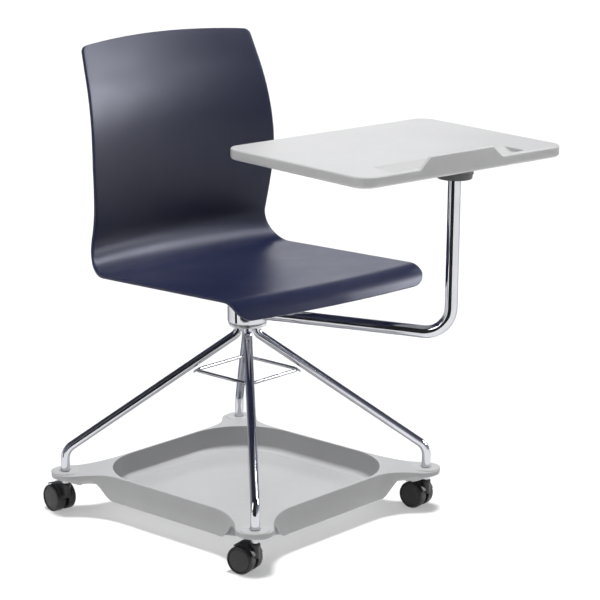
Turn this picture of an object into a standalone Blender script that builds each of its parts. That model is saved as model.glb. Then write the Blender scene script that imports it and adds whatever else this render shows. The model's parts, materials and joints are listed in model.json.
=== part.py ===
"""Mobile student chair: a moulded seat shell on a swivel hub, four bent legs on casters,
a book tray that the legs pass through, and a writing tablet on a swinging arm.

The chair faces -Y and stands on z = 0. Every length is in metres.
"""
import math

import bmesh
import bpy
from mathutils import Matrix, Vector

# Clearance between pieces that touch.
GAP = 0.0003

# The hub axis, in the frame whose origin is below the middle of the whole chair.
HUB_X = -0.0633
HUB_Y = 0.0358

# Yaw of each swivelling group at rest, in degrees, from the seat's own frame.
BASE_YAW = 7.2
ARM_YAW = 26.3
CASTER_TRAIL_YAW = {"front_right": 109.0, "front_left": 102.0, "back_left": 96.0, "back_right": 89.0}

# Four legs on the diagonals of the base.
LEG_NAMES = ("front_right", "front_left", "back_left", "back_right")
LEG_CIRCLE = 0.330
LEG_RADIUS = 0.008
LEG_HUB_CIRCLE = 0.016
LEG_TOP = 0.3517
LEG_UPPER_CORNER = 0.3372
LEG_LOWER_CORNER = 0.1180
LEG_UPPER_BEND = 0.020
LEG_LOWER_BEND = 0.031
LEG_BOTTOM = 0.0670
LEG_BORE_RADIUS = 0.0055

# Square wire ring that braces the legs.
BRACE_CORNER = 0.0940
BRACE_HEIGHT = 0.2672
BRACE_WIRE_RADIUS = 0.003
BRACE_BEND = 0.012

# Swivel hub, from the leg flange up to the seat plate.
HUB_RADIUS = 0.036
FLANGE_RADIUS = 0.0345
FLANGE_BOTTOM = 0.3520
FLANGE_TOP = 0.3573
SPINDLE_RADIUS = 0.0125
SPINDLE_TOP = 0.4330
WASHER_THICKNESS = 0.0015
COLLAR_TOP = 0.4085
SLEEVE_RADIUS = 0.0160
BUSH_WALL = 0.0020
BUSH_FLANGE_RADIUS = 0.0230
BUSH_FLANGE_THICKNESS = 0.0020
BUSH_LENGTH = 0.0140
CAP_TOP = 0.4350
NUT_POCKET_RADIUS = 0.0200
NUT_POCKET_FLOOR = 0.4180
NUT_ACROSS_FLATS = 0.0300
NUT_HEIGHT = 0.0090

# Swinging arm.
ARM_REACH = 0.385
ARM_HEIGHT = 0.376
ARM_TUBE_RADIUS = 0.0112
ARM_BORE_RADIUS = 0.0092
ARM_BEND = 0.050
ARM_POCKET_DEPTH = 0.008
POST_TOP = 0.6645

# Writing tablet: its own frame has the post on its axis and the far edge at -Y.
TABLET_LENGTH = 0.488
TABLET_DEPTH = 0.360
TABLET_TOP = 0.6880
TABLET_THICKNESS = 0.0200
TABLET_CORNER = 0.030
TABLET_EDGE = 0.003
TABLET_OFFSET_Y = 0.1460
LIP_HEIGHT = 0.020
LIP_BASE = 0.200
LIP_CREST = 0.148
LIP_THICKNESS = 0.007
LIP_OFFSET_X = -0.016
LIP_ROOT_DEPTH = 0.012
LIP_ROOT_SPREAD = 0.005
LIP_SETBACK = 0.0001
TROUGH_LENGTH = 0.300
TROUGH_WIDTH = 0.036
TROUGH_DEPTH = 0.009
TROUGH_INSET = 0.012
TROUGH_END_RADIUS = 0.006

# Socket under the tablet.
SOCKET_BOTTOM = 0.6540
SOCKET_RADIUS = 0.0325
SOCKET_TAPER = 0.0020
SOCKET_BORE = 0.0135
SOCKET_SCREW_CIRCLE = 0.0235
SOCKET_SCREW_RADIUS = 0.0020
SOCKET_SCREW_HEAD = 0.0037
SOCKET_SCREW_HEAD_HEIGHT = 0.0025
SOCKET_SCREW_BITE = 0.0050
SOCKET_RECESS = 0.0005

# Seat shell: a profile walked from the front lip to the top edge, with its widths.
SHELL_THICKNESS = 0.006
LIP_START_Y = -0.2360
LIP_START_Z = 0.4400
LIP_ANGLE = 68.0
LIP_RADIUS = 0.040
LIP_FLAT = 0.009
SEAT_TILT = 3.5
SEAT_LENGTH = 0.332
BEND_RADIUS = 0.047
LUMBAR_LEAN = 14.0
LUMBAR_RADIUS = 0.50
UPPER_BACK_RADIUS = 0.42
UPPER_BACK_LEAN = 22.5
TOP_FLAT = 0.0605
FRONT_HALF_WIDTH = 0.2180
SEAT_HALF_WIDTH = 0.2205
WAIST_HALF_WIDTH = 0.2020
BACK_HALF_WIDTH = 0.2098
TOP_HALF_WIDTH = 0.1930
WAIST_Z = 0.510
WIDEST_BACK_Z = 0.645
TOP_CORNER_Z = 0.846
TOP_NARROWING_POWER = 1.6
FRONT_CORNER = 0.030
TOP_CORNER = 0.011
SEAT_DISH = 0.005
BEND_BOW = 0.020
BACK_BOW = 0.026
UPPER_BACK_BOW = 0.019
TOP_BOW = 0.015
FRONT_BULGE = 0.013
FRONT_BULGE_RUN = 0.200
TOP_CROWN = 0.0160
TOP_CROWN_START_Z = 0.760
TOP_CROWN_RISE = 0.080
SHELL_COLUMNS = 14

# Plate, bosses and bolts under the seat.
PLATE_HALF = 0.080
PLATE_THICKNESS = 0.004
PLATE_CORNER = 0.012
BOLT_SPACING = 0.060
BOLT_RADIUS = 0.003
BOLT_HEAD_RADIUS = 0.0055
BOLT_HEAD_HEIGHT = 0.0035
BOLT_REACH = 0.0090
BOSS_RADIUS = 0.010

# Book tray, in the frame of the base.
TRAY_HALF = 0.2110
TRAY_WALL = 0.0035
TRAY_CORNER = 0.1200
TRAY_RIM = 0.0850
TRAY_LOBE_TOP = 0.0780
TRAY_LOBE_UNDERSIDE = 0.0690
TRAY_BOTTOM = 0.0360
TRAY_FLOOR = 0.0395
TRAY_PLATE = 0.0040
LOBE_END_RADIUS = 0.034
LOBE_END_CENTRE = 0.322
LOBE_FILLET = 0.120
LEG_HOLE_RADIUS = 0.0083
LOBE_BOSS_RADIUS = 0.0160
RIM_FALL_START = 0.2387
SKIRT_RISE_START = 0.2430
SKIRT_RISE_RUN = 0.0390

# Foot insert in the end of each leg, and the twin-wheel caster below it.
INSERT_FLANGE_RADIUS = 0.0120
INSERT_FLANGE_TOP = 0.0667
INSERT_FLANGE_BOTTOM = 0.0635
INSERT_SHANK_TOP = 0.0900
INSERT_BORE = 0.0040
COLLAR_RADIUS = 0.0072
COLLAR_BOTTOM = 0.0560
STEM_RADIUS = 0.0037
STEM_TOP = 0.0860
WHEEL_RADIUS = 0.025
WHEEL_WIDTH = 0.0165
WHEEL_GAP = 0.0080
WHEEL_CHAMFER = 0.0020
AXLE_RADIUS = 0.0030
AXLE_HALF_LENGTH = 0.0185
TRAIL = 0.0200
WEB_THICKNESS = 0.0064
WEB_RADIUS = 0.0190
NECK_RADIUS = 0.0085
NECK_BOTTOM = 0.0190
NECK_TOP = 0.0545
STEM_BOTTOM = 0.0290
WHEEL_CLEARANCE = 0.0006
RIB_THICKNESS = 0.0056
RIB_OUTER = 0.0276
RIB_INNER = 0.0150
RIB_START = 95.0
RIB_END = 165.0
FENDER_INNER = 0.0262
FENDER_OUTER = 0.0284
FENDER_WIDTH = 0.0380
FENDER_START = 50.0
FENDER_END = 172.0


def clear_scene():
    for item in list(bpy.data.objects):
        bpy.data.objects.remove(item, do_unlink=True)


def material(name, colour, roughness, metallic=0.0):
    made = bpy.data.materials.new(name)
    made.use_nodes = True
    shader = made.node_tree.nodes["Principled BSDF"]
    shader.inputs["Base Color"].default_value = (*colour, 1.0)
    shader.inputs["Roughness"].default_value = roughness
    shader.inputs["Metallic"].default_value = metallic
    return made


def frame(name, parent=None, location=(0.0, 0.0, 0.0), yaw=0.0):
    """An empty that carries a group of pieces; a moving group's empty stands on its axis."""
    empty = bpy.data.objects.new(name, None)
    bpy.context.scene.collection.objects.link(empty)
    empty.parent = parent
    empty.location = location
    empty.rotation_euler = (0.0, 0.0, math.radians(yaw))
    return empty


def add_object(name, bm, finish, parent, location=(0.0, 0.0, 0.0), rotation=(0.0, 0.0, 0.0), sheet=False):
    """Make an object from a bmesh; a sheet keeps its own winding, a solid is turned to face out."""
    if not sheet:
        bmesh.ops.recalc_face_normals(bm, faces=bm.faces)
    mesh = bpy.data.meshes.new(name)
    bm.to_mesh(mesh)
    bm.free()
    mesh.shade_smooth()
    mesh.set_sharp_from_angle(angle=math.radians(35.0))
    mesh.materials.append(finish)
    made = bpy.data.objects.new(name, mesh)
    bpy.context.scene.collection.objects.link(made)
    made.parent = parent
    made.location = location
    made.rotation_euler = rotation
    return made


def boolean(target, tool, operation="DIFFERENCE"):
    """Cut a hidden tool out of a piece, or join the two."""
    tool.hide_render = True
    tool.display_type = "WIRE"
    step = target.modifiers.new(operation.lower(), "BOOLEAN")
    step.operation = operation
    step.solver = "EXACT"
    step.object = tool


def turned(profile, segments=24, closed=False):
    """Spin an (r, z) profile about Z; a closed profile makes a ring with a bore."""
    bm = bmesh.new()
    points = [bm.verts.new((radius, 0.0, height)) for radius, height in profile]
    edges = [bm.edges.new(pair) for pair in zip(points, points[1:])]
    if closed:
        edges.append(bm.edges.new((points[-1], points[0])))
    bmesh.ops.spin(bm, geom=points + edges, cent=(0, 0, 0), axis=(0, 0, 1),
                   angle=math.tau, steps=segments, use_merge=True)
    bmesh.ops.remove_doubles(bm, verts=bm.verts, dist=0.00002)
    return bm


def drum(radius, bottom, top, segments=24):
    return turned([(0.0, bottom), (radius, bottom), (radius, top), (0.0, top)], segments)


def ring(inner, outer, bottom, top, segments=24):
    return turned([(inner, bottom), (outer, bottom), (outer, top), (inner, top)], segments, closed=True)


def prism(outline, bottom, top):
    """Extrude a closed outline of (x, y) points from one height to another."""
    bm = bmesh.new()
    base = bm.faces.new([bm.verts.new((x, y, bottom)) for x, y in outline])
    grown = bmesh.ops.extrude_face_region(bm, geom=[base])
    lifted = [item for item in grown["geom"] if isinstance(item, bmesh.types.BMVert)]
    bmesh.ops.translate(bm, verts=lifted, vec=(0.0, 0.0, top - bottom))
    return bm


def arc(centre, radius, start, end, steps):
    """Points along an arc, with angles in degrees, both ends included."""
    angles = [math.radians(start + (end - start) * i / steps) for i in range(steps + 1)]
    return [(centre[0] + radius * math.cos(a), centre[1] + radius * math.sin(a)) for a in angles]


def rounded_rectangle(half_x, half_y, radius, steps=5):
    corners = ((half_x, half_y, 0), (-half_x, half_y, 90), (-half_x, -half_y, 180), (half_x, -half_y, 270))
    outline = []
    for x, y, start in corners:
        centre = (x - math.copysign(radius, x), y - math.copysign(radius, y))
        outline += arc(centre, radius, start, start + 90, steps)
    return outline


def bent_path(corners, radii, steps=5):
    """A path through corner points, with each inner corner rounded to its bend radius."""
    points = [Vector(corners[0])]
    for before, corner, after, radius in zip(corners, corners[1:], corners[2:], radii):
        into = (Vector(corner) - Vector(before)).normalized()
        out = (Vector(after) - Vector(corner)).normalized()
        turn = into.angle(out)
        run = radius * math.tan(turn / 2.0)
        start = Vector(corner) - into * run
        inward = (out - into * into.dot(out)).normalized()
        for i in range(steps + 1):
            angle = turn * i / steps
            points.append(start + into * radius * math.sin(angle) + inward * radius * (1.0 - math.cos(angle)))
    points.append(Vector(corners[-1]))
    return points


def swept(path, radius, sides, side_axis, closed=False, bore=0.0):
    """Sweep a circle along a planar path whose plane's normal is side_axis; a bore makes it a tube."""
    bm = bmesh.new()
    side = Vector(side_axis)
    outside = []
    inside = []
    count = len(path)
    for i, point in enumerate(path):
        if closed:
            ahead = (path[(i + 1) % count] - point).normalized()
            behind = (point - path[i - 1]).normalized()
        else:
            ahead = (path[min(i + 1, count - 1)] - path[min(i, count - 2)]).normalized()
            behind = (path[max(i, 1)] - path[max(i - 1, 0)]).normalized()
        along = (ahead + behind).normalized()
        up = side.cross(along)
        angles = [math.tau * (k + 0.5) / sides for k in range(sides)]
        spokes = [side * math.cos(a) + up * math.sin(a) for a in angles]
        outside.append([bm.verts.new(point + radius * spoke) for spoke in spokes])
        if bore:
            inside.append([bm.verts.new(point + bore * spoke) for spoke in spokes])
    pairs = list(zip(outside, outside[1:])) + list(zip(inside, inside[1:]))
    if closed:
        pairs.append((outside[-1], outside[0]))
    elif bore:
        pairs += [(outside[0], inside[0]), (outside[-1], inside[-1])]
    else:
        bm.faces.new(outside[0])
        bm.faces.new(outside[-1])
    for first, second in pairs:
        for k in range(sides):
            bm.faces.new((first[k], first[(k + 1) % sides], second[(k + 1) % sides], second[k]))
    return bm


def smooth(value):
    held = min(1.0, max(0.0, value))
    return held * held * (3.0 - 2.0 * held)


# ---------------------------------------------------------------- base

def leg_angle(name):
    return {"front_right": -135.0, "front_left": -45.0, "back_left": 45.0, "back_right": 135.0}[name]


def make_legs(base, chrome):
    corners = [(LEG_HUB_CIRCLE, 0.0, LEG_TOP - GAP), (LEG_HUB_CIRCLE, 0.0, LEG_UPPER_CORNER),
               (LEG_CIRCLE, 0.0, LEG_LOWER_CORNER), (LEG_CIRCLE, 0.0, LEG_BOTTOM)]
    path = bent_path(corners, (LEG_UPPER_BEND, LEG_LOWER_BEND), 4)
    for name in LEG_NAMES:
        turn = (0.0, 0.0, math.radians(leg_angle(name)))
        tube = swept(path, LEG_RADIUS, 12, (0.0, 1.0, 0.0), bore=LEG_BORE_RADIUS)
        add_object("leg_" + name, tube, chrome, base, rotation=turn)


def make_foot_inserts(base, steel):
    shank = (LEG_BORE_RADIUS - GAP) * math.cos(math.radians(15.0))
    profile = [(INSERT_BORE, COLLAR_BOTTOM), (COLLAR_RADIUS, COLLAR_BOTTOM),
               (COLLAR_RADIUS, INSERT_FLANGE_BOTTOM), (INSERT_FLANGE_RADIUS, INSERT_FLANGE_BOTTOM),
               (INSERT_FLANGE_RADIUS, INSERT_FLANGE_TOP), (shank, INSERT_FLANGE_TOP),
               (shank, INSERT_SHANK_TOP), (INSERT_BORE, INSERT_SHANK_TOP)]
    for name in LEG_NAMES:
        turn = math.radians(leg_angle(name))
        place = (LEG_CIRCLE * math.cos(turn), LEG_CIRCLE * math.sin(turn), 0.0)
        add_object("foot_insert_" + name, turned(profile, 12, closed=True), steel, base, place)


def make_brace_ring(base, chrome):
    corners = []
    for quarter in range(4):
        turn = math.radians(45.0 + 90.0 * quarter)
        corners.append(Vector((BRACE_CORNER * math.cos(turn), BRACE_CORNER * math.sin(turn), BRACE_HEIGHT)))
    middle = (corners[0] + corners[-1]) / 2.0
    loop = bent_path([middle] + corners + [middle], [BRACE_BEND] * 4, 3)
    wire = swept(loop[:-1], BRACE_WIRE_RADIUS, 6, (0.0, 0.0, 1.0), closed=True)
    add_object("brace_ring", wire, chrome, base)


def make_spindle_parts(base, steel, nylon):
    flange = ring(SPINDLE_RADIUS + GAP, FLANGE_RADIUS, FLANGE_BOTTOM, FLANGE_TOP, 32)
    add_object("leg_hub", flange, steel, base)
    nut_bottom = NUT_POCKET_FLOOR + 2.0 * GAP + WASHER_THICKNESS
    add_object("spindle", drum(SPINDLE_RADIUS, FLANGE_BOTTOM, SPINDLE_TOP), steel, base)
    washer = ring(SPINDLE_RADIUS + GAP, FLANGE_RADIUS - 0.002, FLANGE_TOP + GAP,
                  FLANGE_TOP + GAP + WASHER_THICKNESS, 24)
    add_object("thrust_washer_lower", washer, nylon, base)
    washer = ring(SPINDLE_RADIUS + GAP, NUT_POCKET_RADIUS - 0.002, NUT_POCKET_FLOOR + GAP,
                  NUT_POCKET_FLOOR + GAP + WASHER_THICKNESS, 20)
    add_object("thrust_washer_upper", washer, nylon, base)
    hexagon = [(x / math.cos(math.radians(30.0)), y / math.cos(math.radians(30.0)))
               for x, y in arc((0.0, 0.0), NUT_ACROSS_FLATS / 2.0, 0.0, 300.0, 5)]
    nut = add_object("spindle_nut", prism(hexagon, nut_bottom, nut_bottom + NUT_HEIGHT), steel, base)
    bore = drum(SPINDLE_RADIUS + GAP, nut_bottom - 0.01, nut_bottom + 0.02)
    boolean(nut, add_object("nut_bore", bore, steel, nut))


# ---------------------------------------------------------------- book tray

def tray_outline():
    """The lobed outline: straight walls, concave fillets, and a round end at each leg."""
    end = LOBE_END_CENTRE / math.sqrt(2.0)
    across = TRAY_HALF + LOBE_FILLET - end
    reach = LOBE_FILLET + LOBE_END_RADIUS
    fillet_y = end - math.sqrt(reach * reach - across * across)
    meet = math.degrees(math.atan2(end - fillet_y, across))
    fillet = arc((TRAY_HALF + LOBE_FILLET, fillet_y), LOBE_FILLET, 180.0, 180.0 - meet, 6)
    nose = arc((end, end), LOBE_END_RADIUS, -meet, 90.0 + meet, 8)
    half = fillet + nose[1:-1]
    mirrored = [(y, x) for x, y in reversed(fillet)]
    quarter = half + mirrored
    outline = []
    for turns in range(4):
        cos, sin = round(math.cos(turns * math.pi / 2.0)), round(math.sin(turns * math.pi / 2.0))
        outline += [(x * cos - y * sin, x * sin + y * cos) for x, y in quarter]
    return outline


def inset(outline, distance):
    """Move every point of a closed outline inwards along its own normal."""
    moved = []
    count = len(outline)
    for i, (x, y) in enumerate(outline):
        ahead, behind = outline[(i + 1) % count], outline[i - 1]
        tangent = Vector((ahead[0] - behind[0], ahead[1] - behind[1])).normalized()
        moved.append((x - tangent.y * distance, y + tangent.x * distance))
    return moved


def tray_body():
    """The tray before it is hollowed: its top falls from the rim to the four lobes."""
    outline = tray_outline()
    bm = bmesh.new()
    top = []
    for x, y in outline:
        fall = smooth((math.hypot(x, y) - RIM_FALL_START) / (LEG_CIRCLE - RIM_FALL_START))
        top.append(bm.verts.new((x, y, TRAY_RIM + (TRAY_LOBE_TOP - TRAY_RIM) * fall)))
    bottom = [bm.verts.new((x, y, TRAY_BOTTOM)) for x, y in outline]
    rim = [bm.verts.new((x, y, TRAY_RIM)) for x, y in tray_rim_points(outline)]
    count = len(outline)
    for i in range(count):
        j = (i + 1) % count
        bm.faces.new((bottom[i], bottom[j], top[j], top[i]))
        bm.faces.new((top[i], top[j], rim[j], rim[i]))
    bm.faces.new(bottom)
    bm.faces.new(rim)
    return bm


def tray_rim_points(outline):
    """One point of the rounded basin edge for each point of the outline."""
    half = TRAY_HALF - TRAY_WALL
    straight = half - TRAY_CORNER
    points = []
    for x, y in outline:
        angle = math.atan2(abs(y), abs(x))
        low, high = 0.0, half * 2.0
        for _ in range(40):
            middle = (low + high) / 2.0
            px, py = middle * math.cos(angle), middle * math.sin(angle)
            over = math.hypot(max(px - straight, 0.0), max(py - straight, 0.0)) - TRAY_CORNER
            if over > 0.0:
                high = middle
            else:
                low = middle
        points.append((math.copysign(low * math.cos(angle), x), math.copysign(low * math.sin(angle), y)))
    return points


def skirt_cutter(base, finish, index):
    """Lifts the skirt's lower edge in an S-curve towards a lobe."""
    start, run, low, rise = SKIRT_RISE_START, SKIRT_RISE_RUN, TRAY_BOTTOM, TRAY_LOBE_UNDERSIDE - TRAY_BOTTOM
    curve = [(start + run * i / 6, low + rise * smooth(i / 6)) for i in range(1, 7)]
    beyond, below = LEG_CIRCLE + 0.07, low - 0.02
    outline = [(start, below), (start, low)] + curve + [(beyond, low + rise), (beyond, below)]
    bm = prism(outline, -LOBE_FILLET, LOBE_FILLET)
    turn = math.radians(45.0 + 90.0 * index)
    upright = Matrix.Rotation(turn, 4, "Z") @ Matrix.Rotation(math.radians(90.0), 4, "X")
    bmesh.ops.transform(bm, matrix=upright, verts=bm.verts)
    return add_object("skirt_cutter_%d" % index, bm, finish, base)


def make_book_tray(base, grey):
    tray = add_object("book_tray", tray_body(), grey, base)
    half = TRAY_HALF - TRAY_WALL
    basin = prism(rounded_rectangle(half, half, TRAY_CORNER, 8), TRAY_FLOOR, TRAY_RIM + 0.02)
    boolean(tray, add_object("basin_cutter", basin, grey, base))
    hollow = add_object("lobe_hollow", prism(inset(tray_outline(), TRAY_WALL), TRAY_BOTTOM - 0.02,
                        TRAY_LOBE_TOP - TRAY_PLATE), grey, base)
    wall_face = rounded_rectangle(TRAY_HALF - GAP, TRAY_HALF - GAP, TRAY_CORNER + TRAY_WALL, 8)
    keep = prism(wall_face, TRAY_BOTTOM - 0.03, TRAY_RIM)
    boolean(hollow, add_object("basin_wall_keep", keep, grey, base))
    boolean(tray, hollow)
    for index, name in enumerate(LEG_NAMES):
        boolean(tray, skirt_cutter(base, grey, index))
        turn = math.radians(leg_angle(name))
        place = (LEG_CIRCLE * math.cos(turn), LEG_CIRCLE * math.sin(turn), 0.0)
        boss = drum(LOBE_BOSS_RADIUS, INSERT_FLANGE_TOP + GAP, TRAY_LOBE_TOP - 0.001, 16)
        boolean(tray, add_object("lobe_boss_" + name, boss, grey, base, place), "UNION")
        hole = drum(LEG_HOLE_RADIUS, TRAY_BOTTOM - 0.01, TRAY_RIM + 0.01, 16)
        boolean(tray, add_object("leg_hole_" + name, hole, grey, base, place))


# ---------------------------------------------------------------- casters

def hood_body(swivel, name, plastic):
    """Central web, neck and rear fender of a caster, in the swivel's frame (trail along +X)."""
    centre = (TRAIL, WHEEL_RADIUS)
    web = prism(arc(centre, WEB_RADIUS, 0.0, 330.0, 11), -WEB_THICKNESS / 2.0, WEB_THICKNESS / 2.0)
    outer = arc(centre, FENDER_OUTER, FENDER_START, FENDER_END, 7)
    inner = arc(centre, FENDER_INNER, FENDER_END, FENDER_START, 7)
    fender = prism(outer + inner, -FENDER_WIDTH / 2.0, FENDER_WIDTH / 2.0)
    spoke = arc(centre, RIB_OUTER, RIB_START, RIB_END, 5) + arc(centre, RIB_INNER, RIB_END, RIB_START, 3)
    rib = prism(spoke, -RIB_THICKNESS / 2.0, RIB_THICKNESS / 2.0)
    neck = drum(NECK_RADIUS, NECK_BOTTOM, NECK_TOP, 16)
    upright = Matrix.Rotation(math.radians(90.0), 4, "X")
    for flat in (web, fender, rib):
        bmesh.ops.transform(flat, matrix=upright, verts=flat.verts)
    hood = add_object("caster_hood_" + name, web, plastic, swivel)
    for label, tool in (("fender", fender), ("rib", rib), ("neck", neck)):
        boolean(hood, add_object(label + "_" + name, tool, plastic, swivel), "UNION")
    for side in (-1, 1):
        inner_face = (WHEEL_GAP - WHEEL_CLEARANCE) / 2.0
        room = drum(WHEEL_RADIUS + WHEEL_CLEARANCE, inner_face, inner_face + WHEEL_WIDTH + 0.006)
        outward = Matrix.Rotation(math.radians(-90.0 * side), 4, "X")
        bmesh.ops.transform(room, matrix=outward, verts=room.verts)
        label = "wheel_room_%s_%s" % (name, "left" if side > 0 else "right")
        boolean(hood, add_object(label, room, plastic, swivel, (TRAIL, 0.0, WHEEL_RADIUS)))
    stem_bore = drum(STEM_RADIUS + GAP, STEM_BOTTOM - GAP, NECK_TOP + 0.01, 12)
    boolean(hood, add_object("stem_bore_" + name, stem_bore, plastic, swivel))
    axle_bore = drum(AXLE_RADIUS + GAP, -0.03, 0.03, 12)
    bmesh.ops.transform(axle_bore, matrix=upright, verts=axle_bore.verts)
    boolean(hood, add_object("axle_bore_" + name, axle_bore, plastic, swivel, (TRAIL, 0.0, WHEEL_RADIUS)))


def wheel_mesh():
    """A wheel about its own X axis, with chamfered treads and a bore for the axle."""
    half = WHEEL_WIDTH / 2.0
    cut = WHEEL_CHAMFER
    bore = AXLE_RADIUS + GAP
    profile = [(bore, -half), (WHEEL_RADIUS - cut, -half), (WHEEL_RADIUS, -half + cut),
               (WHEEL_RADIUS, half - cut), (WHEEL_RADIUS - cut, half), (bore, half)]
    bm = turned(profile, 20, closed=True)
    bmesh.ops.transform(bm, matrix=Matrix.Rotation(math.radians(90.0), 4, "X"), verts=bm.verts)
    return bm


def make_casters(base, plastic, steel):
    for name in LEG_NAMES:
        turn = math.radians(leg_angle(name))
        place = (LEG_CIRCLE * math.cos(turn), LEG_CIRCLE * math.sin(turn), 0.0)
        swivel = frame("caster_swivel_" + name, base, place, CASTER_TRAIL_YAW[name] - BASE_YAW)
        hood_body(swivel, name, plastic)
        stem = drum(STEM_RADIUS, STEM_BOTTOM, STEM_TOP, 12)
        add_object("caster_stem_" + name, stem, steel, swivel)
        axle = drum(AXLE_RADIUS, -AXLE_HALF_LENGTH, AXLE_HALF_LENGTH, 12)
        bmesh.ops.transform(axle, matrix=Matrix.Rotation(math.radians(90.0), 4, "X"), verts=axle.verts)
        add_object("caster_axle_" + name, axle, steel, swivel, (TRAIL, 0.0, WHEEL_RADIUS))
        for side, label in ((1, "left"), (-1, "right")):
            offset = side * (WHEEL_GAP + WHEEL_WIDTH) / 2.0
            add_object("wheel_%s_%s" % (name, label), wheel_mesh(), plastic, swivel,
                       (TRAIL, offset, WHEEL_RADIUS))


# ---------------------------------------------------------------- seat

def shell_profile():
    """Walk the shell's side profile; returns (y, z, heading, share along the part) stations."""
    moves = [(LIP_FLAT, 0.0, 1), (0.0, LIP_ANGLE, 5), (SEAT_LENGTH, 0.0, 8),
             (0.0, 90.0 + LUMBAR_LEAN + SEAT_TILT, 7), (0.0, -LUMBAR_LEAN, 3),
             (0.0, -UPPER_BACK_LEAN, 4), (TOP_FLAT, 0.0, 6)]
    radii = [0.0, LIP_RADIUS, 0.0, BEND_RADIUS, LUMBAR_RADIUS, UPPER_BACK_RADIUS, 0.0]
    y, z = LIP_START_Y, LIP_START_Z
    heading = LIP_ANGLE - SEAT_TILT
    stations = [(y, z, heading, 0, 0.0)]
    for part, ((length, turn, steps), radius) in enumerate(zip(moves, radii)):
        shares = [i / steps for i in range(steps + 1)]
        if part == len(moves) - 1:
            shares = [1.0 - (1.0 - share) ** 2 for share in shares]
        for i in range(steps):
            if radius:
                turned_by = (turn if part != 1 else -turn) / steps
                chord = 2.0 * radius * math.sin(math.radians(abs(turned_by)) / 2.0)
                heading += turned_by / 2.0
                y += chord * math.cos(math.radians(heading))
                z += chord * math.sin(math.radians(heading))
                heading += turned_by / 2.0
            else:
                step = length * (shares[i + 1] - shares[i])
                y += step * math.cos(math.radians(heading))
                z += step * math.sin(math.radians(heading))
            stations.append((y, z, heading, part, shares[i + 1]))
    return stations


def shell_half_width(part, share, z):
    if part <= 1:
        return FRONT_HALF_WIDTH
    if part == 2:
        return FRONT_HALF_WIDTH + (SEAT_HALF_WIDTH - FRONT_HALF_WIDTH) * smooth(share)
    if part == 3:
        return SEAT_HALF_WIDTH + (WAIST_HALF_WIDTH - SEAT_HALF_WIDTH) * smooth(share)
    if z < WIDEST_BACK_Z:
        rise = smooth((z - WAIST_Z) / (WIDEST_BACK_Z - WAIST_Z))
        return WAIST_HALF_WIDTH + (BACK_HALF_WIDTH - WAIST_HALF_WIDTH) * rise
    fall = ((z - WIDEST_BACK_Z) / (TOP_CORNER_Z - WIDEST_BACK_Z)) ** TOP_NARROWING_POWER
    return BACK_HALF_WIDTH + (TOP_HALF_WIDTH - BACK_HALF_WIDTH) * min(1.0, fall)


def shell_bow(part, share):
    """How far the middle of the shell stands back from its edges, square to the surface."""
    starts = (0.0, 0.0, 0.0, SEAT_DISH, BEND_BOW, BACK_BOW, UPPER_BACK_BOW)
    ends = (0.0, 0.0, SEAT_DISH, BEND_BOW, BACK_BOW, UPPER_BACK_BOW, TOP_BOW)
    return starts[part] + (ends[part] - starts[part]) * smooth(share)


def corner_loss(distance, radius):
    """How much a rounded corner takes off the half width near an end of the shell."""
    away = max(0.0, radius - distance)
    return radius - math.sqrt(max(radius * radius - away * away, 0.0))


def shell_grid():
    stations = shell_profile()
    travel = [0.0]
    for first, second in zip(stations, stations[1:]):
        travel.append(travel[-1] + math.hypot(second[0] - first[0], second[1] - first[1]))
    bm = bmesh.new()
    rows = []
    for (y, z, heading, part, share), run in zip(stations, travel):
        half = shell_half_width(part, share, z)
        width = half - corner_loss(run, FRONT_CORNER) - corner_loss(travel[-1] - run, TOP_CORNER)
        away = math.radians(heading - 90.0)
        forward = math.radians(heading)
        bow = shell_bow(part, share)
        bulge = -FRONT_BULGE * (1.0 - smooth((y - LIP_START_Y) / FRONT_BULGE_RUN)) if part <= 2 else 0.0
        crown = TOP_CROWN * smooth((z - TOP_CROWN_START_Z) / TOP_CROWN_RISE) if part >= 5 else 0.0
        row = []
        for column in range(SHELL_COLUMNS + 1):
            point_x = width * (2.0 * column / SHELL_COLUMNS - 1.0)
            middle = 1.0 - (point_x / half) ** 2
            back = bow * middle
            point_y = y + back * math.cos(away) + bulge * middle + crown * middle * math.cos(forward)
            point_z = z + back * math.sin(away) + crown * middle * math.sin(forward)
            row.append(bm.verts.new((point_x, point_y, point_z)))
        rows.append(row)
    for first, second in zip(rows, rows[1:]):
        for column in range(SHELL_COLUMNS):
            bm.faces.new((first[column], first[column + 1], second[column + 1], second[column]))
    return bm


def seat_height(y):
    """Height of the middle of the seat's top face at a place along Y."""
    seat_part = [station for station in shell_profile() if station[3] == 2]
    first, last = seat_part[0], seat_part[-1]
    share = (y - first[0]) / (last[0] - first[0])
    return first[1] + share * (last[1] - first[1]) - SEAT_DISH * smooth(share)


def bolt_places():
    return [(x * BOLT_SPACING, y * BOLT_SPACING) for x, y in ((-1, -1), (1, -1), (1, 1), (-1, 1))]


def make_shell(seat, navy):
    shell = add_object("seat_shell", shell_grid(), navy, seat, sheet=True)
    skin = shell.modifiers.new("thickness", "SOLIDIFY")
    skin.thickness = SHELL_THICKNESS
    skin.offset = -1.0
    skin.use_even_offset = True
    plate_top = CAP_TOP + GAP + PLATE_THICKNESS
    for index, (x, y) in enumerate(bolt_places()):
        boss = drum(BOSS_RADIUS, plate_top + GAP, seat_height(y) - SHELL_THICKNESS / 2.0, 12)
        boolean(shell, add_object("boss_%d" % index, boss, navy, seat, (x, y, 0.0)), "UNION")
        hole = drum(BOLT_RADIUS + GAP, plate_top - 0.01, plate_top + BOLT_REACH + GAP, 10)
        boolean(shell, add_object("boss_bore_%d" % index, hole, navy, seat, (x, y, 0.0)))


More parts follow.
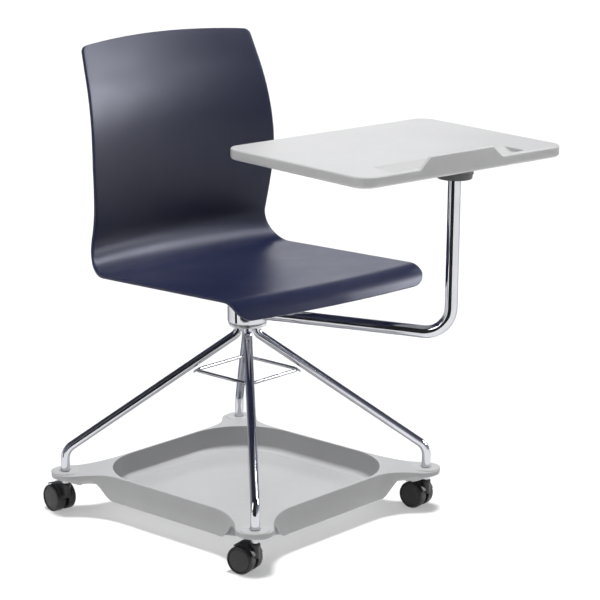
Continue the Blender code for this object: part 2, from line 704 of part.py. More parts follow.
def make_seat_mount(seat, chrome, steel):
    sleeve_bottom = FLANGE_TOP + 2.0 * GAP + WASHER_THICKNESS
    bore = SPINDLE_RADIUS + GAP
    profile = [(bore, sleeve_bottom), (SLEEVE_RADIUS, sleeve_bottom), (SLEEVE_RADIUS, COLLAR_TOP + GAP),
               (HUB_RADIUS, COLLAR_TOP + GAP), (HUB_RADIUS, CAP_TOP), (NUT_POCKET_RADIUS, CAP_TOP),
               (NUT_POCKET_RADIUS, NUT_POCKET_FLOOR), (bore, NUT_POCKET_FLOOR)]
    add_object("seat_hub", turned(profile, 32, closed=True), chrome, seat)
    bottom = CAP_TOP + GAP
    plate = add_object("seat_plate", prism(rounded_rectangle(PLATE_HALF, PLATE_HALF, PLATE_CORNER, 3),
                       bottom, bottom + PLATE_THICKNESS), steel, seat)
    for index, (x, y) in enumerate(bolt_places()):
        hole = drum(BOLT_RADIUS + GAP, bottom - 0.01, bottom + 0.01, 12)
        boolean(plate, add_object("plate_hole_%d" % index, hole, steel, seat, (x, y, 0.0)))
        head_top = bottom - GAP
        head_bottom = head_top - BOLT_HEAD_HEIGHT
        bolt = [(0.0, head_bottom), (BOLT_HEAD_RADIUS, head_bottom), (BOLT_HEAD_RADIUS, head_top),
                (BOLT_RADIUS, head_top), (BOLT_RADIUS, bottom + PLATE_THICKNESS + BOLT_REACH),
                (0.0, bottom + PLATE_THICKNESS + BOLT_REACH)]
        add_object("seat_bolt_%d" % (index + 1), turned(bolt, 10), steel, seat, (x, y, 0.0))


# ---------------------------------------------------------------- arm and tablet

def make_arm(arm, chrome, nylon):
    bottom = FLANGE_TOP + 2.0 * GAP + WASHER_THICKNESS
    bush_outer = SLEEVE_RADIUS + GAP + BUSH_WALL
    bore = bush_outer + GAP
    recess = BUSH_FLANGE_RADIUS + GAP
    step = BUSH_FLANGE_THICKNESS + GAP
    profile = [(recess, bottom), (HUB_RADIUS, bottom), (HUB_RADIUS, COLLAR_TOP), (recess, COLLAR_TOP),
               (recess, COLLAR_TOP - step), (bore, COLLAR_TOP - step), (bore, bottom + step),
               (recess, bottom + step)]
    collar = add_object("arm_collar", turned(profile, 32, closed=True), chrome, arm)
    pocket = drum(ARM_TUBE_RADIUS + GAP, HUB_RADIUS - ARM_POCKET_DEPTH, HUB_RADIUS + 0.01, 16)
    bmesh.ops.transform(pocket, matrix=Matrix.Rotation(math.radians(90.0), 4, "X"), verts=pocket.verts)
    boolean(collar, add_object("arm_pocket", pocket, chrome, arm, (0.0, 0.0, ARM_HEIGHT)))

    inner = SLEEVE_RADIUS + GAP
    for label, edge, way in (("lower", bottom, 1.0), ("upper", COLLAR_TOP, -1.0)):
        shoulder, end = edge + way * BUSH_FLANGE_THICKNESS, edge + way * BUSH_LENGTH
        bush = [(inner, edge), (BUSH_FLANGE_RADIUS, edge), (BUSH_FLANGE_RADIUS, shoulder),
                (bush_outer, shoulder), (bush_outer, end), (inner, end)]
        add_object("arm_bush_" + label, turned(bush, 20, closed=True), nylon, arm)

    start = HUB_RADIUS - ARM_POCKET_DEPTH + GAP
    corners = [(0.0, -start, ARM_HEIGHT), (0.0, -ARM_REACH, ARM_HEIGHT), (0.0, -ARM_REACH, POST_TOP)]
    path = bent_path(corners, (ARM_BEND,), 8)
    tube = swept(path, ARM_TUBE_RADIUS, 16, (1.0, 0.0, 0.0), bore=ARM_BORE_RADIUS)
    add_object("arm_tube", tube, chrome, arm)
    bush = ring(ARM_TUBE_RADIUS + GAP, SOCKET_BORE - GAP, SOCKET_BOTTOM + SOCKET_RECESS, POST_TOP, 20)
    add_object("post_bush", bush, nylon, arm, (0.0, -ARM_REACH, 0.0))


def tablet_body():
    """The slab, with a small chamfer round its top and bottom edges."""
    half_x, half_y = TABLET_LENGTH / 2.0, TABLET_DEPTH / 2.0
    bottom = TABLET_TOP - TABLET_THICKNESS
    levels = ((TABLET_EDGE, bottom), (0.0, bottom + TABLET_EDGE), (0.0, TABLET_TOP - TABLET_EDGE / 2.0),
              (TABLET_EDGE / 2.0, TABLET_TOP))
    bm = bmesh.new()
    loops = []
    for shrink, height in levels:
        outline = rounded_rectangle(half_x - shrink, half_y - shrink, TABLET_CORNER - shrink, 6)
        loops.append([bm.verts.new((x, y, height)) for x, y in outline])
    for lower, upper in zip(loops, loops[1:]):
        for i in range(len(lower)):
            j = (i + 1) % len(lower)
            bm.faces.new((lower[i], lower[j], upper[j], upper[i]))
    bm.faces.new(loops[0])
    bm.faces.new(loops[-1])
    return bm


def make_tablet(tablet, grey):
    top = add_object("tablet_top", tablet_body(), grey, tablet, (0.0, TABLET_OFFSET_Y, 0.0))
    base, crest = LIP_BASE / 2.0, LIP_CREST / 2.0
    root, foot = TABLET_TOP - LIP_ROOT_DEPTH, base + LIP_ROOT_SPREAD
    sides = [(-foot, root), (foot, root), (base, TABLET_TOP), (crest, TABLET_TOP + LIP_HEIGHT),
             (-crest, TABLET_TOP + LIP_HEIGHT), (-base, TABLET_TOP)]
    lip = prism(sides, -LIP_THICKNESS, 0.0)
    bmesh.ops.transform(lip, matrix=Matrix.Rotation(math.radians(90.0), 4, "X"), verts=lip.verts)
    far_face = -TABLET_DEPTH / 2.0 + LIP_SETBACK
    boolean(top, add_object("lip_block", lip, grey, top, (LIP_OFFSET_X, far_face, 0.0)), "UNION")
    trough = prism(rounded_rectangle(TROUGH_LENGTH / 2.0, TROUGH_WIDTH / 2.0, TROUGH_END_RADIUS, 3),
                   TABLET_TOP - TROUGH_DEPTH, TABLET_TOP + 0.01)
    place = (0.0, -TABLET_DEPTH / 2.0 + TROUGH_INSET + TROUGH_WIDTH / 2.0, 0.0)
    boolean(top, add_object("trough_cutter", trough, grey, top, place))
    for index, (x, y) in enumerate(screw_places()):
        hole = drum(SOCKET_SCREW_RADIUS + GAP, TABLET_TOP - TABLET_THICKNESS - 0.01,
                    TABLET_TOP - TABLET_THICKNESS + SOCKET_SCREW_BITE + GAP, 8)
        boolean(top, add_object("screw_hole_%d" % index, hole, grey, tablet, (x, y, 0.0)))


def screw_places():
    return arc((0.0, 0.0), SOCKET_SCREW_CIRCLE, 45.0, 315.0, 3)


def make_socket(tablet, grey, steel):
    top = TABLET_TOP - TABLET_THICKNESS - GAP
    profile = [(0.0, POST_TOP + GAP), (SOCKET_BORE, POST_TOP + GAP), (SOCKET_BORE, SOCKET_BOTTOM),
               (SOCKET_RADIUS - SOCKET_TAPER, SOCKET_BOTTOM), (SOCKET_RADIUS, top), (0.0, top)]
    socket = add_object("tablet_socket", turned(profile, 32), grey, tablet)
    head_bottom = SOCKET_BOTTOM + SOCKET_RECESS
    head_top = head_bottom + SOCKET_SCREW_HEAD_HEIGHT
    for index, (x, y) in enumerate(screw_places()):
        wide, narrow = SOCKET_SCREW_HEAD + GAP, SOCKET_SCREW_RADIUS + GAP
        pocket = turned([(0.0, SOCKET_BOTTOM - 0.01), (wide, SOCKET_BOTTOM - 0.01), (wide, head_top + GAP),
                         (narrow, head_top + GAP), (narrow, top + 0.01), (0.0, top + 0.01)], 8)
        boolean(socket, add_object("screw_pocket_%d" % index, pocket, grey, tablet, (x, y, 0.0)))
        screw = [(0.0, head_bottom), (SOCKET_SCREW_HEAD, head_bottom), (SOCKET_SCREW_HEAD, head_top),
                 (SOCKET_SCREW_RADIUS, head_top), (SOCKET_SCREW_RADIUS, top + SOCKET_SCREW_BITE),
                 (0.0, top + SOCKET_SCREW_BITE)]
        add_object("socket_screw_%d" % (index + 1), turned(screw, 8), steel, tablet, (x, y, 0.0))


def build_chair():
    clear_scene()
    navy = material("navy_plastic", (0.020, 0.023, 0.060), 0.42)
    grey = material("light_grey_plastic", (0.62, 0.63, 0.64), 0.50)
    dark_grey = material("socket_grey_plastic", (0.16, 0.16, 0.17), 0.50)
    black = material("black_plastic", (0.012, 0.012, 0.013), 0.45)
    nylon = material("nylon", (0.75, 0.75, 0.72), 0.55)
    chrome = material("chrome", (0.80, 0.81, 0.82), 0.08, 1.0)
    steel = material("zinc_steel", (0.55, 0.55, 0.56), 0.35, 1.0)

    hub = frame("hub_axis", None, (HUB_X, HUB_Y, 0.0))
    base = frame("base_frame", hub, yaw=BASE_YAW)
    seat = frame("seat_swivel_axis", hub)
    arm = frame("arm_swing_axis", hub, yaw=ARM_YAW)
    tablet = frame("tablet_turn_axis", arm, (0.0, -ARM_REACH, 0.0), -ARM_YAW)

    make_legs(base, chrome)
    make_foot_inserts(base, steel)
    make_brace_ring(base, chrome)
    make_spindle_parts(base, steel, nylon)
    make_book_tray(base, grey)
    make_casters(base, black, steel)
    make_shell(seat, navy)
    make_seat_mount(seat, chrome, steel)
    make_arm(arm, chrome, nylon)
    make_tablet(tablet, grey)
    make_socket(tablet, dark_grey, steel)


build_chair()
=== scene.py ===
"""Looks of the mobile student chair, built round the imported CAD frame. Lengths are in metres."""
import json
import math

import bmesh
import bpy
from mathutils import Matrix, Vector


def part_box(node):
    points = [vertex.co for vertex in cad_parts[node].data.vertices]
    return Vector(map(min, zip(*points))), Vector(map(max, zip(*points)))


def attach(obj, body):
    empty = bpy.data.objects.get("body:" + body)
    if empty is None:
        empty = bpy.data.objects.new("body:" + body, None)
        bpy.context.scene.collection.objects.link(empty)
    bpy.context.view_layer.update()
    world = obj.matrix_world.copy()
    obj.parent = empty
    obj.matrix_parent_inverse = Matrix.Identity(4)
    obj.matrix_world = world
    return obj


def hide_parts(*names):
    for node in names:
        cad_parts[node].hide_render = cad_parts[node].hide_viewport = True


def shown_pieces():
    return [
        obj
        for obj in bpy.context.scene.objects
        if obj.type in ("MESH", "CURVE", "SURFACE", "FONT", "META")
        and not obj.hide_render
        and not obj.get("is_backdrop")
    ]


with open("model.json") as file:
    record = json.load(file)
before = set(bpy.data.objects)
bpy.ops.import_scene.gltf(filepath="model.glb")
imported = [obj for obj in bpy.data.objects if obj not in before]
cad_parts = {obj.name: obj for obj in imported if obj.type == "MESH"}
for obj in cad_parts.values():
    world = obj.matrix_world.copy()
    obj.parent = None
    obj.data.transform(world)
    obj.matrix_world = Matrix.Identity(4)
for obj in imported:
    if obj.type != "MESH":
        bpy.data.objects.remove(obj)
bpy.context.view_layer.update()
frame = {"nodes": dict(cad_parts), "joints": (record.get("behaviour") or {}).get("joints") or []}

JOINTS = {joint["name"]: joint for joint in frame["joints"]}
LEG_NAMES = ("front_right", "front_left", "back_left", "back_right")

# Axes and headings, read from the frame's joints.
HUB = Vector(JOINTS["seat_swivel"]["pos_m"])
POST = Vector(JOINTS["tablet_turn"]["pos_m"])
HUB_XY = Vector((HUB.x, HUB.y, 0.0))
POST_XY = Vector((POST.x, POST.y, 0.0))
LEG_XY = {name: Vector(JOINTS["caster_swivel_" + name]["pos_m"]) * Vector((1, 1, 0)) for name in LEG_NAMES}


# ------------ shape helpers

MERGE_DISTANCE = 0.000005


def smooth(value):
    held = min(1.0, max(0.0, value))
    return held * held * (3.0 - 2.0 * held)


def heading(start, end):
    """Angle about Z of the line from one point to another."""
    return math.atan2(end.y - start.y, end.x - start.x)


def arc(centre, radius, start, end, steps):
    """Points along an arc, with angles in degrees, both ends included."""
    angles = [math.radians(start + (end - start) * i / steps) for i in range(steps + 1)]
    return [(centre[0] + radius * math.cos(a), centre[1] + radius * math.sin(a)) for a in angles]


def quarter_turn(steps):
    """Sine and cosine at even steps from 0 to 90 degrees, both ends included."""
    angles = [math.radians(90.0 * step / steps) for step in range(steps + 1)]
    return [(math.sin(angle), math.cos(angle)) for angle in angles]


def corner_arc(before, corner, after, radius, steps):
    """Points that round one corner of an outline or a path, in 2-D or 3-D."""
    corner = Vector(corner)
    into = (corner - Vector(before)).normalized()
    out = (Vector(after) - corner).normalized()
    turn = into.angle(out)
    start = corner - into * radius * math.tan(turn / 2.0)
    inward = (out - into * into.dot(out)).normalized()
    angles = [turn * i / steps for i in range(steps + 1)]
    return [start + into * radius * math.sin(a) + inward * radius * (1.0 - math.cos(a)) for a in angles]


def rounded(points, radii, steps=4):
    """Round the corners of a 2-D outline; a radius of 0 keeps a corner as it is."""
    outline = []
    for i, (point, radius) in enumerate(zip(points, radii)):
        if radius == 0.0:
            outline.append(point)
            continue
        after = points[(i + 1) % len(points)]
        outline += [tuple(place) for place in corner_arc(points[i - 1], point, after, radius, steps)]
    return outline


def rounded_rectangle(half_x, half_y, radius, steps):
    corners = ((half_x, half_y, 0), (-half_x, half_y, 90), (-half_x, -half_y, 180), (half_x, -half_y, 270))
    outline = []
    for x, y, start in corners:
        centre = (x - math.copysign(radius, x), y - math.copysign(radius, y))
        outline += arc(centre, radius, start, start + 90, steps)
    return outline


def densified(outline, spacing):
    """Add points along the long straight runs of a closed outline."""
    dense = []
    for i, point in enumerate(outline):
        after = Vector(outline[(i + 1) % len(outline)])
        count = max(1, math.ceil((after - Vector(point)).length / spacing))
        dense += [tuple(Vector(point).lerp(after, k / count)) for k in range(count)]
    return dense


def inset(outline, distance):
    """Move every point of a closed outline inwards along its own normal."""
    moved = []
    count = len(outline)
    for i, (x, y) in enumerate(outline):
        ahead, behind = outline[(i + 1) % count], outline[i - 1]
        tangent = Vector((ahead[0] - behind[0], ahead[1] - behind[1])).normalized()
        moved.append((x - tangent.y * distance, y + tangent.x * distance))
    return moved


def skin_rings(bm, rings):
    """Join rings of vertices, each to the next one."""
    for first, second in zip(rings, rings[1:]):
        for k in range(len(first)):
            following = (k + 1) % len(first)
            bm.faces.new((first[k], first[following], second[following], second[k]))


def ring_edges(bm, ring):
    return [bm.edges.get((ring[k], ring[k - 1])) for k in range(len(ring))]


def add_loft(bm, loops, closed=False):
    """Skin a list of closed loops with equal counts of points; a one-point loop is a pole."""
    rings = [[bm.verts.new(point) for point in loop] for loop in loops]
    pairs = list(zip(rings, rings[1:]))
    if closed:
        pairs.append((rings[-1], rings[0]))
    for first, second in pairs:
        count = max(len(first), len(second))
        for k in range(count):
            following = (k + 1) % count
            if len(first) == 1:
                bm.faces.new((first[0], second[following], second[k]))
            elif len(second) == 1:
                bm.faces.new((first[k], first[following], second[0]))
            else:
                bm.faces.new((first[k], first[following], second[following], second[k]))
    if not closed:
        for ring in (rings[0], rings[-1]):
            if len(ring) > 2:
                bm.faces.new(ring)


def add_turned(bm, outline, segments=48, closed=True, place=None):
    """Spin an (r, z) outline about Z, then move it by an optional matrix."""
    loops = []
    for radius, height in outline:
        if radius < 1e-6:
            loops.append([Vector((0.0, 0.0, height))])
        else:
            angles = [math.tau * k / segments for k in range(segments)]
            loops.append([Vector((radius * math.cos(a), radius * math.sin(a), height)) for a in angles])
    if place is not None:
        loops = [[place @ point for point in loop] for loop in loops]
    add_loft(bm, loops, closed=closed)


def bent_path(corners, radii, steps=12):
    """A path through corner points, with each inner corner rounded to its bend radius."""
    points = [Vector(corners[0])]
    for before, corner, after, radius in zip(corners, corners[1:], corners[2:], radii):
        points += corner_arc(before, corner, after, radius, steps)
    points.append(Vector(corners[-1]))
    return points


def add_swept(bm, path, radius, sides, side, closed=False, bore=0.0, ripple=None):
    """Sweep a circle along a planar path with normal side; a bore makes it a tube."""
    outside, inside = [], []
    count = len(path)
    for i, point in enumerate(path):
        if closed:
            ahead = (path[(i + 1) % count] - point).normalized()
            behind = (point - path[i - 1]).normalized()
        else:
            ahead = (path[min(i + 1, count - 1)] - path[min(i, count - 2)]).normalized()
            behind = (path[max(i, 1)] - path[max(i - 1, 0)]).normalized()
        along = (ahead + behind).normalized()
        up = side.cross(along)
        turns = [math.tau * k / sides for k in range(sides)]
        spokes = [side * math.cos(turn) + up * math.sin(turn) for turn in turns]
        grown = radius * (ripple(i / (count - 1)) if ripple else 1.0)
        outside.append([point + grown * spoke for spoke in spokes])
        if bore:
            inside.append([point + bore * spoke for spoke in spokes])
    if bore:
        add_loft(bm, outside + inside[::-1], closed=True)
    else:
        add_loft(bm, outside, closed=closed)


def linked_object(name, data):
    thing = bpy.data.objects.new(name, data)
    bpy.context.scene.collection.objects.link(thing)
    return thing


def finished_mesh(name, bm):
    mesh = bpy.data.meshes.new(name)
    bm.to_mesh(mesh)
    bm.free()
    return mesh


def shade(mesh, sharp):
    mesh.shade_smooth()
    mesh.set_sharp_from_angle(angle=math.radians(sharp))


def add_piece(name, bm, finish, body, replaced=(), sharp=40.0, merge=True):
    """Make a visible piece that rides on a body and stands for CAD nodes."""
    if merge:
        bmesh.ops.remove_doubles(bm, verts=bm.verts, dist=MERGE_DISTANCE)
    bmesh.ops.recalc_face_normals(bm, faces=bm.faces)
    mesh = finished_mesh(name, bm)
    shade(mesh, sharp)
    mesh.materials.append(finish)
    piece = linked_object(name, mesh)
    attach(piece, body)
    if replaced:
        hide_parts(*replaced)
    return piece


def turned_piece(name, outline, segments, place, finish, body, replaced=(), sharp=40.0,
                 closed=True):
    """A visible piece spun from an (r, z) outline."""
    bm = bmesh.new()
    add_turned(bm, outline, segments, closed, place)
    return add_piece(name, bm, finish, body, replaced, sharp)


def carve(piece, bm, sharp=40.0):
    """Cut closed bodies out of a piece, and apply the cut."""
    bmesh.ops.recalc_face_normals(bm, faces=bm.faces)
    cutter = finished_mesh("cutter", bm)
    tool = linked_object("cutter", cutter)
    step = piece.modifiers.new("cut", "BOOLEAN")
    step.operation = "DIFFERENCE"
    step.solver = "EXACT"
    step.object = tool
    graph = bpy.context.evaluated_depsgraph_get()
    mesh = bpy.data.meshes.new_from_object(piece.evaluated_get(graph))
    piece.modifiers.clear()
    piece.data = mesh
    shade(mesh, sharp)
    bpy.data.objects.remove(tool)
    bpy.data.meshes.remove(cutter)


# ------------ materials

class Look:
    """A Principled material with object coordinates and a few node helpers."""

    def __init__(self, name, roughness, metallic=0.0):
        self.material = bpy.data.materials.new(name)
        self.material.use_nodes = True
        self.nodes = self.material.node_tree.nodes
        self.links = self.material.node_tree.links
        self.shader = self.nodes["Principled BSDF"]
        self.set("Metallic", metallic)
        self.set("Roughness", roughness)
        self.place = self.nodes.new("ShaderNodeTexCoord").outputs["Object"]

    def noise(self, scale, detail=3.0, stretch=None):
        source = self.place
        if stretch:
            mapping = self.nodes.new("ShaderNodeMapping")
            mapping.inputs["Scale"].default_value = stretch
            self.links.new(self.place, mapping.inputs["Vector"])
            source = mapping.outputs["Vector"]
        node = self.nodes.new("ShaderNodeTexNoise")
        node.inputs["Scale"].default_value = scale
        node.inputs["Detail"].default_value = detail
        self.links.new(source, node.inputs["Vector"])
        return node.outputs["Fac"]

    def ramp(self, factor, stops):
        node = self.nodes.new("ShaderNodeValToRGB")
        elements = node.color_ramp.elements
        elements[0].position, elements[1].position = stops[0][0], stops[-1][0]
        for place, _ in stops[1:-1]:
            elements.new(place)
        for element, (_, colour) in zip(elements, stops):
            element.color = (colour, colour, colour, 1.0) if isinstance(colour, float) else (*colour, 1.0)
        self.links.new(factor, node.inputs["Fac"])
        return node.outputs["Color"]

    def spread(self, factor, low, high, start=0.3, end=0.7):
        node = self.nodes.new("ShaderNodeMapRange")
        for socket, value in (("From Min", start), ("From Max", end), ("To Min", low), ("To Max", high)):
            node.inputs[socket].default_value = value
        self.links.new(factor, node.inputs["Value"])
        return node.outputs["Result"]

    def mix(self, factor, first, second):
        node = self.nodes.new("ShaderNodeMix")
        node.data_type = "RGBA"
        sockets = (node.inputs[0], node.inputs[6], node.inputs[7])
        for socket, value in zip(sockets, (factor, first, second)):
            if isinstance(value, tuple):
                socket.default_value = (*value, 1.0)
            else:
                self.links.new(value, socket)
        return node.outputs[2]

    def bump(self, heights):
        """Stack of (height socket, distance) bumps, the first one lowest."""
        normal = None
        for height, distance in heights:
            node = self.nodes.new("ShaderNodeBump")
            node.inputs["Strength"].default_value = 1.0
            node.inputs["Distance"].default_value = distance
            self.links.new(height, node.inputs["Height"])
            if normal:
                self.links.new(normal, node.inputs["Normal"])
            normal = node.outputs["Normal"]
        self.links.new(normal, self.shader.inputs["Normal"])

    def edges(self, low=0.51, high=0.56):
        """White along convex edges, black elsewhere."""
        node = self.nodes.new("ShaderNodeNewGeometry")
        return self.spread(node.outputs["Pointiness"], 0.0, 1.0, low, high)

    def set(self, socket, value):
        if isinstance(value, (float, tuple)):
            self.shader.inputs[socket].default_value = value
        else:
            self.links.new(value, self.shader.inputs[socket])


def moulded_plastic(name, colour, roughness, variation, wear=0.25):
    """Injection-moulded plastic: fine grain, faint flow marks, light scuffs and paler edges."""
    grain, grain_scale = 0.00005, 1400.0
    look = Look(name, roughness)
    darker = tuple(c * (1.0 - variation) for c in colour)
    lighter = tuple(min(1.0, c * (1.0 + variation) + 0.002) for c in colour)
    flow = look.ramp(look.noise(6.0, 4.0), ((0.35, darker), (0.65, lighter)))
    worn = tuple(min(1.0, c * 1.25 + 0.03) for c in colour)
    edge_mask = look.spread(look.edges(), 0.0, wear)
    look.set("Base Color", look.mix(edge_mask, flow, worn))
    scuffs = look.noise(60.0, 6.0, (1.0, 6.0, 2.0))
    look.set("Roughness", look.spread(scuffs, roughness - 0.05, roughness + 0.07))
    look.bump(((look.noise(90.0, 2.0), grain * 2.0), (look.noise(grain_scale, 2.0), grain)))
    return look.material


def shell_material():
    """Deep navy polypropylene with a fine leather-like grain, and a painted highlight of paler blue along its
    rim.
    """
    look = Look("navy_shell", 0.36)
    flow = look.ramp(look.noise(5.0, 4.0), ((0.3, (0.0085, 0.0115, 0.0380)), (0.7, (0.0110, 0.0145, 0.0460))))
    # Painted highlight: paler blue mixed in along the shell's convex rim edges, standing in for light
    # catching the rim.
    edge_mask = look.spread(look.edges(0.505, 0.56), 0.0, 0.35)
    look.set("Base Color", look.mix(edge_mask, flow, (0.05, 0.056, 0.10)))
    rubbed = look.noise(14.0, 5.0)
    look.set("Roughness", look.spread(rubbed, 0.36, 0.40))
    cells = look.nodes.new("ShaderNodeTexVoronoi")
    cells.inputs["Scale"].default_value = 900.0
    look.links.new(look.place, cells.inputs["Vector"])
    look.bump(((look.noise(300.0, 3.0), 0.00004), (cells.outputs["Distance"], 0.00007)))
    look.set("IOR", 1.46)
    look.set("Specular Tint", (0.83, 0.85, 1.0, 1.0))
    return look.material


def chrome_material(name, low, high):
    """Bright plate with faint polishing lines and cloudy patches."""
    roughness = 0.05
    look = Look(name, roughness, metallic=1.0)
    cloud = look.noise(25.0, 4.0)
    look.set("Base Color", look.ramp(cloud, ((0.3, low), (0.7, high))))
    look.set("Specular Tint", (0.16, 0.17, 0.21, 1.0))
    lines = look.noise(400.0, 3.0, (1.0, 1.0, 0.08))
    look.set("Roughness", look.spread(lines, roughness, roughness + 0.05))
    look.bump(((lines, 0.000004),))
    return look.material


def plated_material():
    """Zinc-plated steel, slightly mottled."""
    look = Look("zinc_plate", 0.32, metallic=1.0)
    mottle = look.noise(180.0, 5.0)
    look.set("Base Color", look.ramp(mottle, ((0.3, (0.46, 0.47, 0.49)), (0.7, (0.66, 0.66, 0.67)))))
    look.set("Roughness", look.spread(look.noise(90.0, 4.0), 0.24, 0.42))
    look.bump(((look.noise(900.0, 2.0), 0.00001),))
    return look.material


def nylon_material():
    look = Look("natural_nylon", 0.45)
    tint = look.ramp(look.noise(40.0), ((0.3, (0.66, 0.65, 0.60)), (0.7, (0.78, 0.77, 0.72))))
    look.set("Base Color", tint)
    look.set("Roughness", look.spread(look.noise(200.0), 0.38, 0.52))
    look.bump(((look.noise(1200.0), 0.00002),))
    look.set("Subsurface Weight", 0.1)
    return look.material


def wheel_material():
    """Black nylon wheel with dust and scuffs in broken patches."""
    look = Look("wheel_black", 0.38)
    dust = look.spread(look.noise(120.0, 7.0), 0.0, 0.5, 0.56, 0.80)
    look.set("Base Color", look.mix(dust, (0.010, 0.010, 0.011), (0.045, 0.044, 0.042)))
    look.set("Roughness", look.spread(look.noise(160.0, 5.0), 0.30, 0.48))
    look.bump(((look.noise(700.0, 3.0), 0.00003),))
    return look.material


NAVY = shell_material()
TRAY_GREY = moulded_plastic("tray_grey", (0.425, 0.426, 0.430), 0.46, 0.03)
TABLET_GREY = moulded_plastic("tablet_grey", (0.555, 0.555, 0.558), 0.48, 0.02)
SOCKET_GREY = moulded_plastic("socket_grey", (0.075, 0.075, 0.078), 0.48, 0.05)
BLACK = moulded_plastic("caster_black", (0.006, 0.006, 0.0065), 0.42, 0.1, wear=0.1)
WHEEL = wheel_material()
CHROME = chrome_material("chrome", (0.60, 0.605, 0.640), (0.66, 0.665, 0.695))
WIRE_CHROME = chrome_material("chrome_wire", (0.40, 0.402, 0.415), (0.46, 0.462, 0.475))
PLATED = plated_material()
NYLON = nylon_material()


# ------------ seat shell

SHELL_THICKNESS = 0.006
LIP_START_Y, LIP_START_Z = -0.2360, 0.4400
LIP_FLAT, LIP_ANGLE, LIP_RADIUS = 0.009, 68.0, 0.040
SEAT_TILT, SEAT_LENGTH, BEND_RADIUS = 3.5, 0.332, 0.047
LUMBAR_LEAN, LUMBAR_RADIUS = 14.0, 0.50
UPPER_BACK_RADIUS, UPPER_BACK_LEAN, TOP_FLAT = 0.42, 22.5, 0.0605
FRONT_HALF_WIDTH, SEAT_HALF_WIDTH, WAIST_HALF_WIDTH = 0.2180, 0.2205, 0.2020
BACK_HALF_WIDTH, TOP_HALF_WIDTH = 0.2098, 0.1930
WAIST_Z, WIDEST_BACK_Z, TOP_CORNER_Z, TOP_NARROWING_POWER = 0.510, 0.645, 0.846, 1.6
FRONT_CORNER, TOP_CORNER = 0.030, 0.011
SEAT_DISH, BEND_BOW, BACK_BOW, UPPER_BACK_BOW, TOP_BOW = 0.005, 0.020, 0.026, 0.019, 0.015
FRONT_BULGE, FRONT_BULGE_RUN = 0.013, 0.200
TOP_CROWN, TOP_CROWN_START_Z, TOP_CROWN_RISE = 0.0160, 0.760, 0.080
SHELL_COLUMNS = 72
SHELL_ROW_SPACING = 0.006
EDGE_ROUNDING = 0.0012
FRONT_REACH, TOP_REACH = FRONT_CORNER - EDGE_ROUNDING, TOP_CORNER - EDGE_ROUNDING


def shell_profile():
    """Walk the side profile in short steps; (y, z, heading, part, share along the part) stations."""
    lengths = (LIP_FLAT, 0.0, SEAT_LENGTH, 0.0, 0.0, 0.0, TOP_FLAT)
    turns = (0.0, -LIP_ANGLE, 0.0, 90.0 + LUMBAR_LEAN + SEAT_TILT, -LUMBAR_LEAN, -UPPER_BACK_LEAN, 0.0)
    radii = (0.0, LIP_RADIUS, 0.0, BEND_RADIUS, LUMBAR_RADIUS, UPPER_BACK_RADIUS, 0.0)
    y, z, angle = LIP_START_Y, LIP_START_Z, LIP_ANGLE - SEAT_TILT
    stations = [(y, z, angle, 0, 0.0)]
    for part, (length, turn, radius) in enumerate(zip(lengths, turns, radii)):
        run = length if length else math.radians(abs(turn)) * radius
        steps = math.ceil(run / 0.001)
        for i in range(steps):
            angle += turn / steps / 2.0
            y += run / steps * math.cos(math.radians(angle))
            z += run / steps * math.sin(math.radians(angle))
            angle += turn / steps / 2.0
            stations.append((y, z, angle, part, (i + 1) / steps))
    return stations


def shell_half_width(part, share, z):
    if part <= 1:
        return FRONT_HALF_WIDTH
    if part == 2:
        return FRONT_HALF_WIDTH + (SEAT_HALF_WIDTH - FRONT_HALF_WIDTH) * smooth(share)
    if part == 3:
        return SEAT_HALF_WIDTH + (WAIST_HALF_WIDTH - SEAT_HALF_WIDTH) * smooth(share)
    if z < WIDEST_BACK_Z:
        rise = smooth((z - WAIST_Z) / (WIDEST_BACK_Z - WAIST_Z))
        return WAIST_HALF_WIDTH + (BACK_HALF_WIDTH - WAIST_HALF_WIDTH) * rise
    fall = ((z - WIDEST_BACK_Z) / (TOP_CORNER_Z - WIDEST_BACK_Z)) ** TOP_NARROWING_POWER
    return BACK_HALF_WIDTH + (TOP_HALF_WIDTH - BACK_HALF_WIDTH) * min(1.0, fall)


def shell_bow(part, share):
    """How far the middle of the shell stands back from its edges, square to the surface."""
    starts = (0.0, 0.0, 0.0, SEAT_DISH, BEND_BOW, BACK_BOW, UPPER_BACK_BOW)
    ends = (0.0, 0.0, SEAT_DISH, BEND_BOW, BACK_BOW, UPPER_BACK_BOW, TOP_BOW)
    return starts[part] + (ends[part] - starts[part]) * smooth(share)


def corner_loss(distance, radius):
    """How much a rounded corner takes off the half width near an end of the shell."""
    away = max(0.0, radius - distance)
    return radius - math.sqrt(max(radius * radius - away * away, 0.0))


def shell_rows():
    """Stations to build on: even along the middle, close together in the rounded corners."""
    stations = shell_profile()
    travel = [0.0]
    for first, second in zip(stations, stations[1:]):
        travel.append(travel[-1] + math.hypot(second[0] - first[0], second[1] - first[1]))
    first_run, last_run = EDGE_ROUNDING, travel[-1] - EDGE_ROUNDING
    kept_back = last_run - first_run
    turns = [1.0 - math.cos(math.radians(angle)) for angle in range(0, 91, 6)]
    middle_run = kept_back - FRONT_REACH - TOP_REACH
    count = math.ceil(middle_run / SHELL_ROW_SPACING)
    runs = [FRONT_REACH * turn for turn in turns]
    runs += [FRONT_REACH + middle_run * i / count for i in range(1, count)]
    runs += [kept_back - TOP_REACH * turn for turn in reversed(turns)]
    rows = []
    index = 0
    for run in runs:
        while index < len(travel) - 2 and travel[index + 1] < run + first_run:
            index += 1
        share = (run + first_run - travel[index]) / (travel[index + 1] - travel[index])
        first, second = stations[index], stations[index + 1]
        y, z, angle = [a + (b - a) * share for a, b in zip(first[:3], second[:3])]
        start = first[4] if first[3] == second[3] else 0.0
        rows.append((run, kept_back - run, (y, z, angle, second[3], start + (second[4] - start) * share)))
    return rows


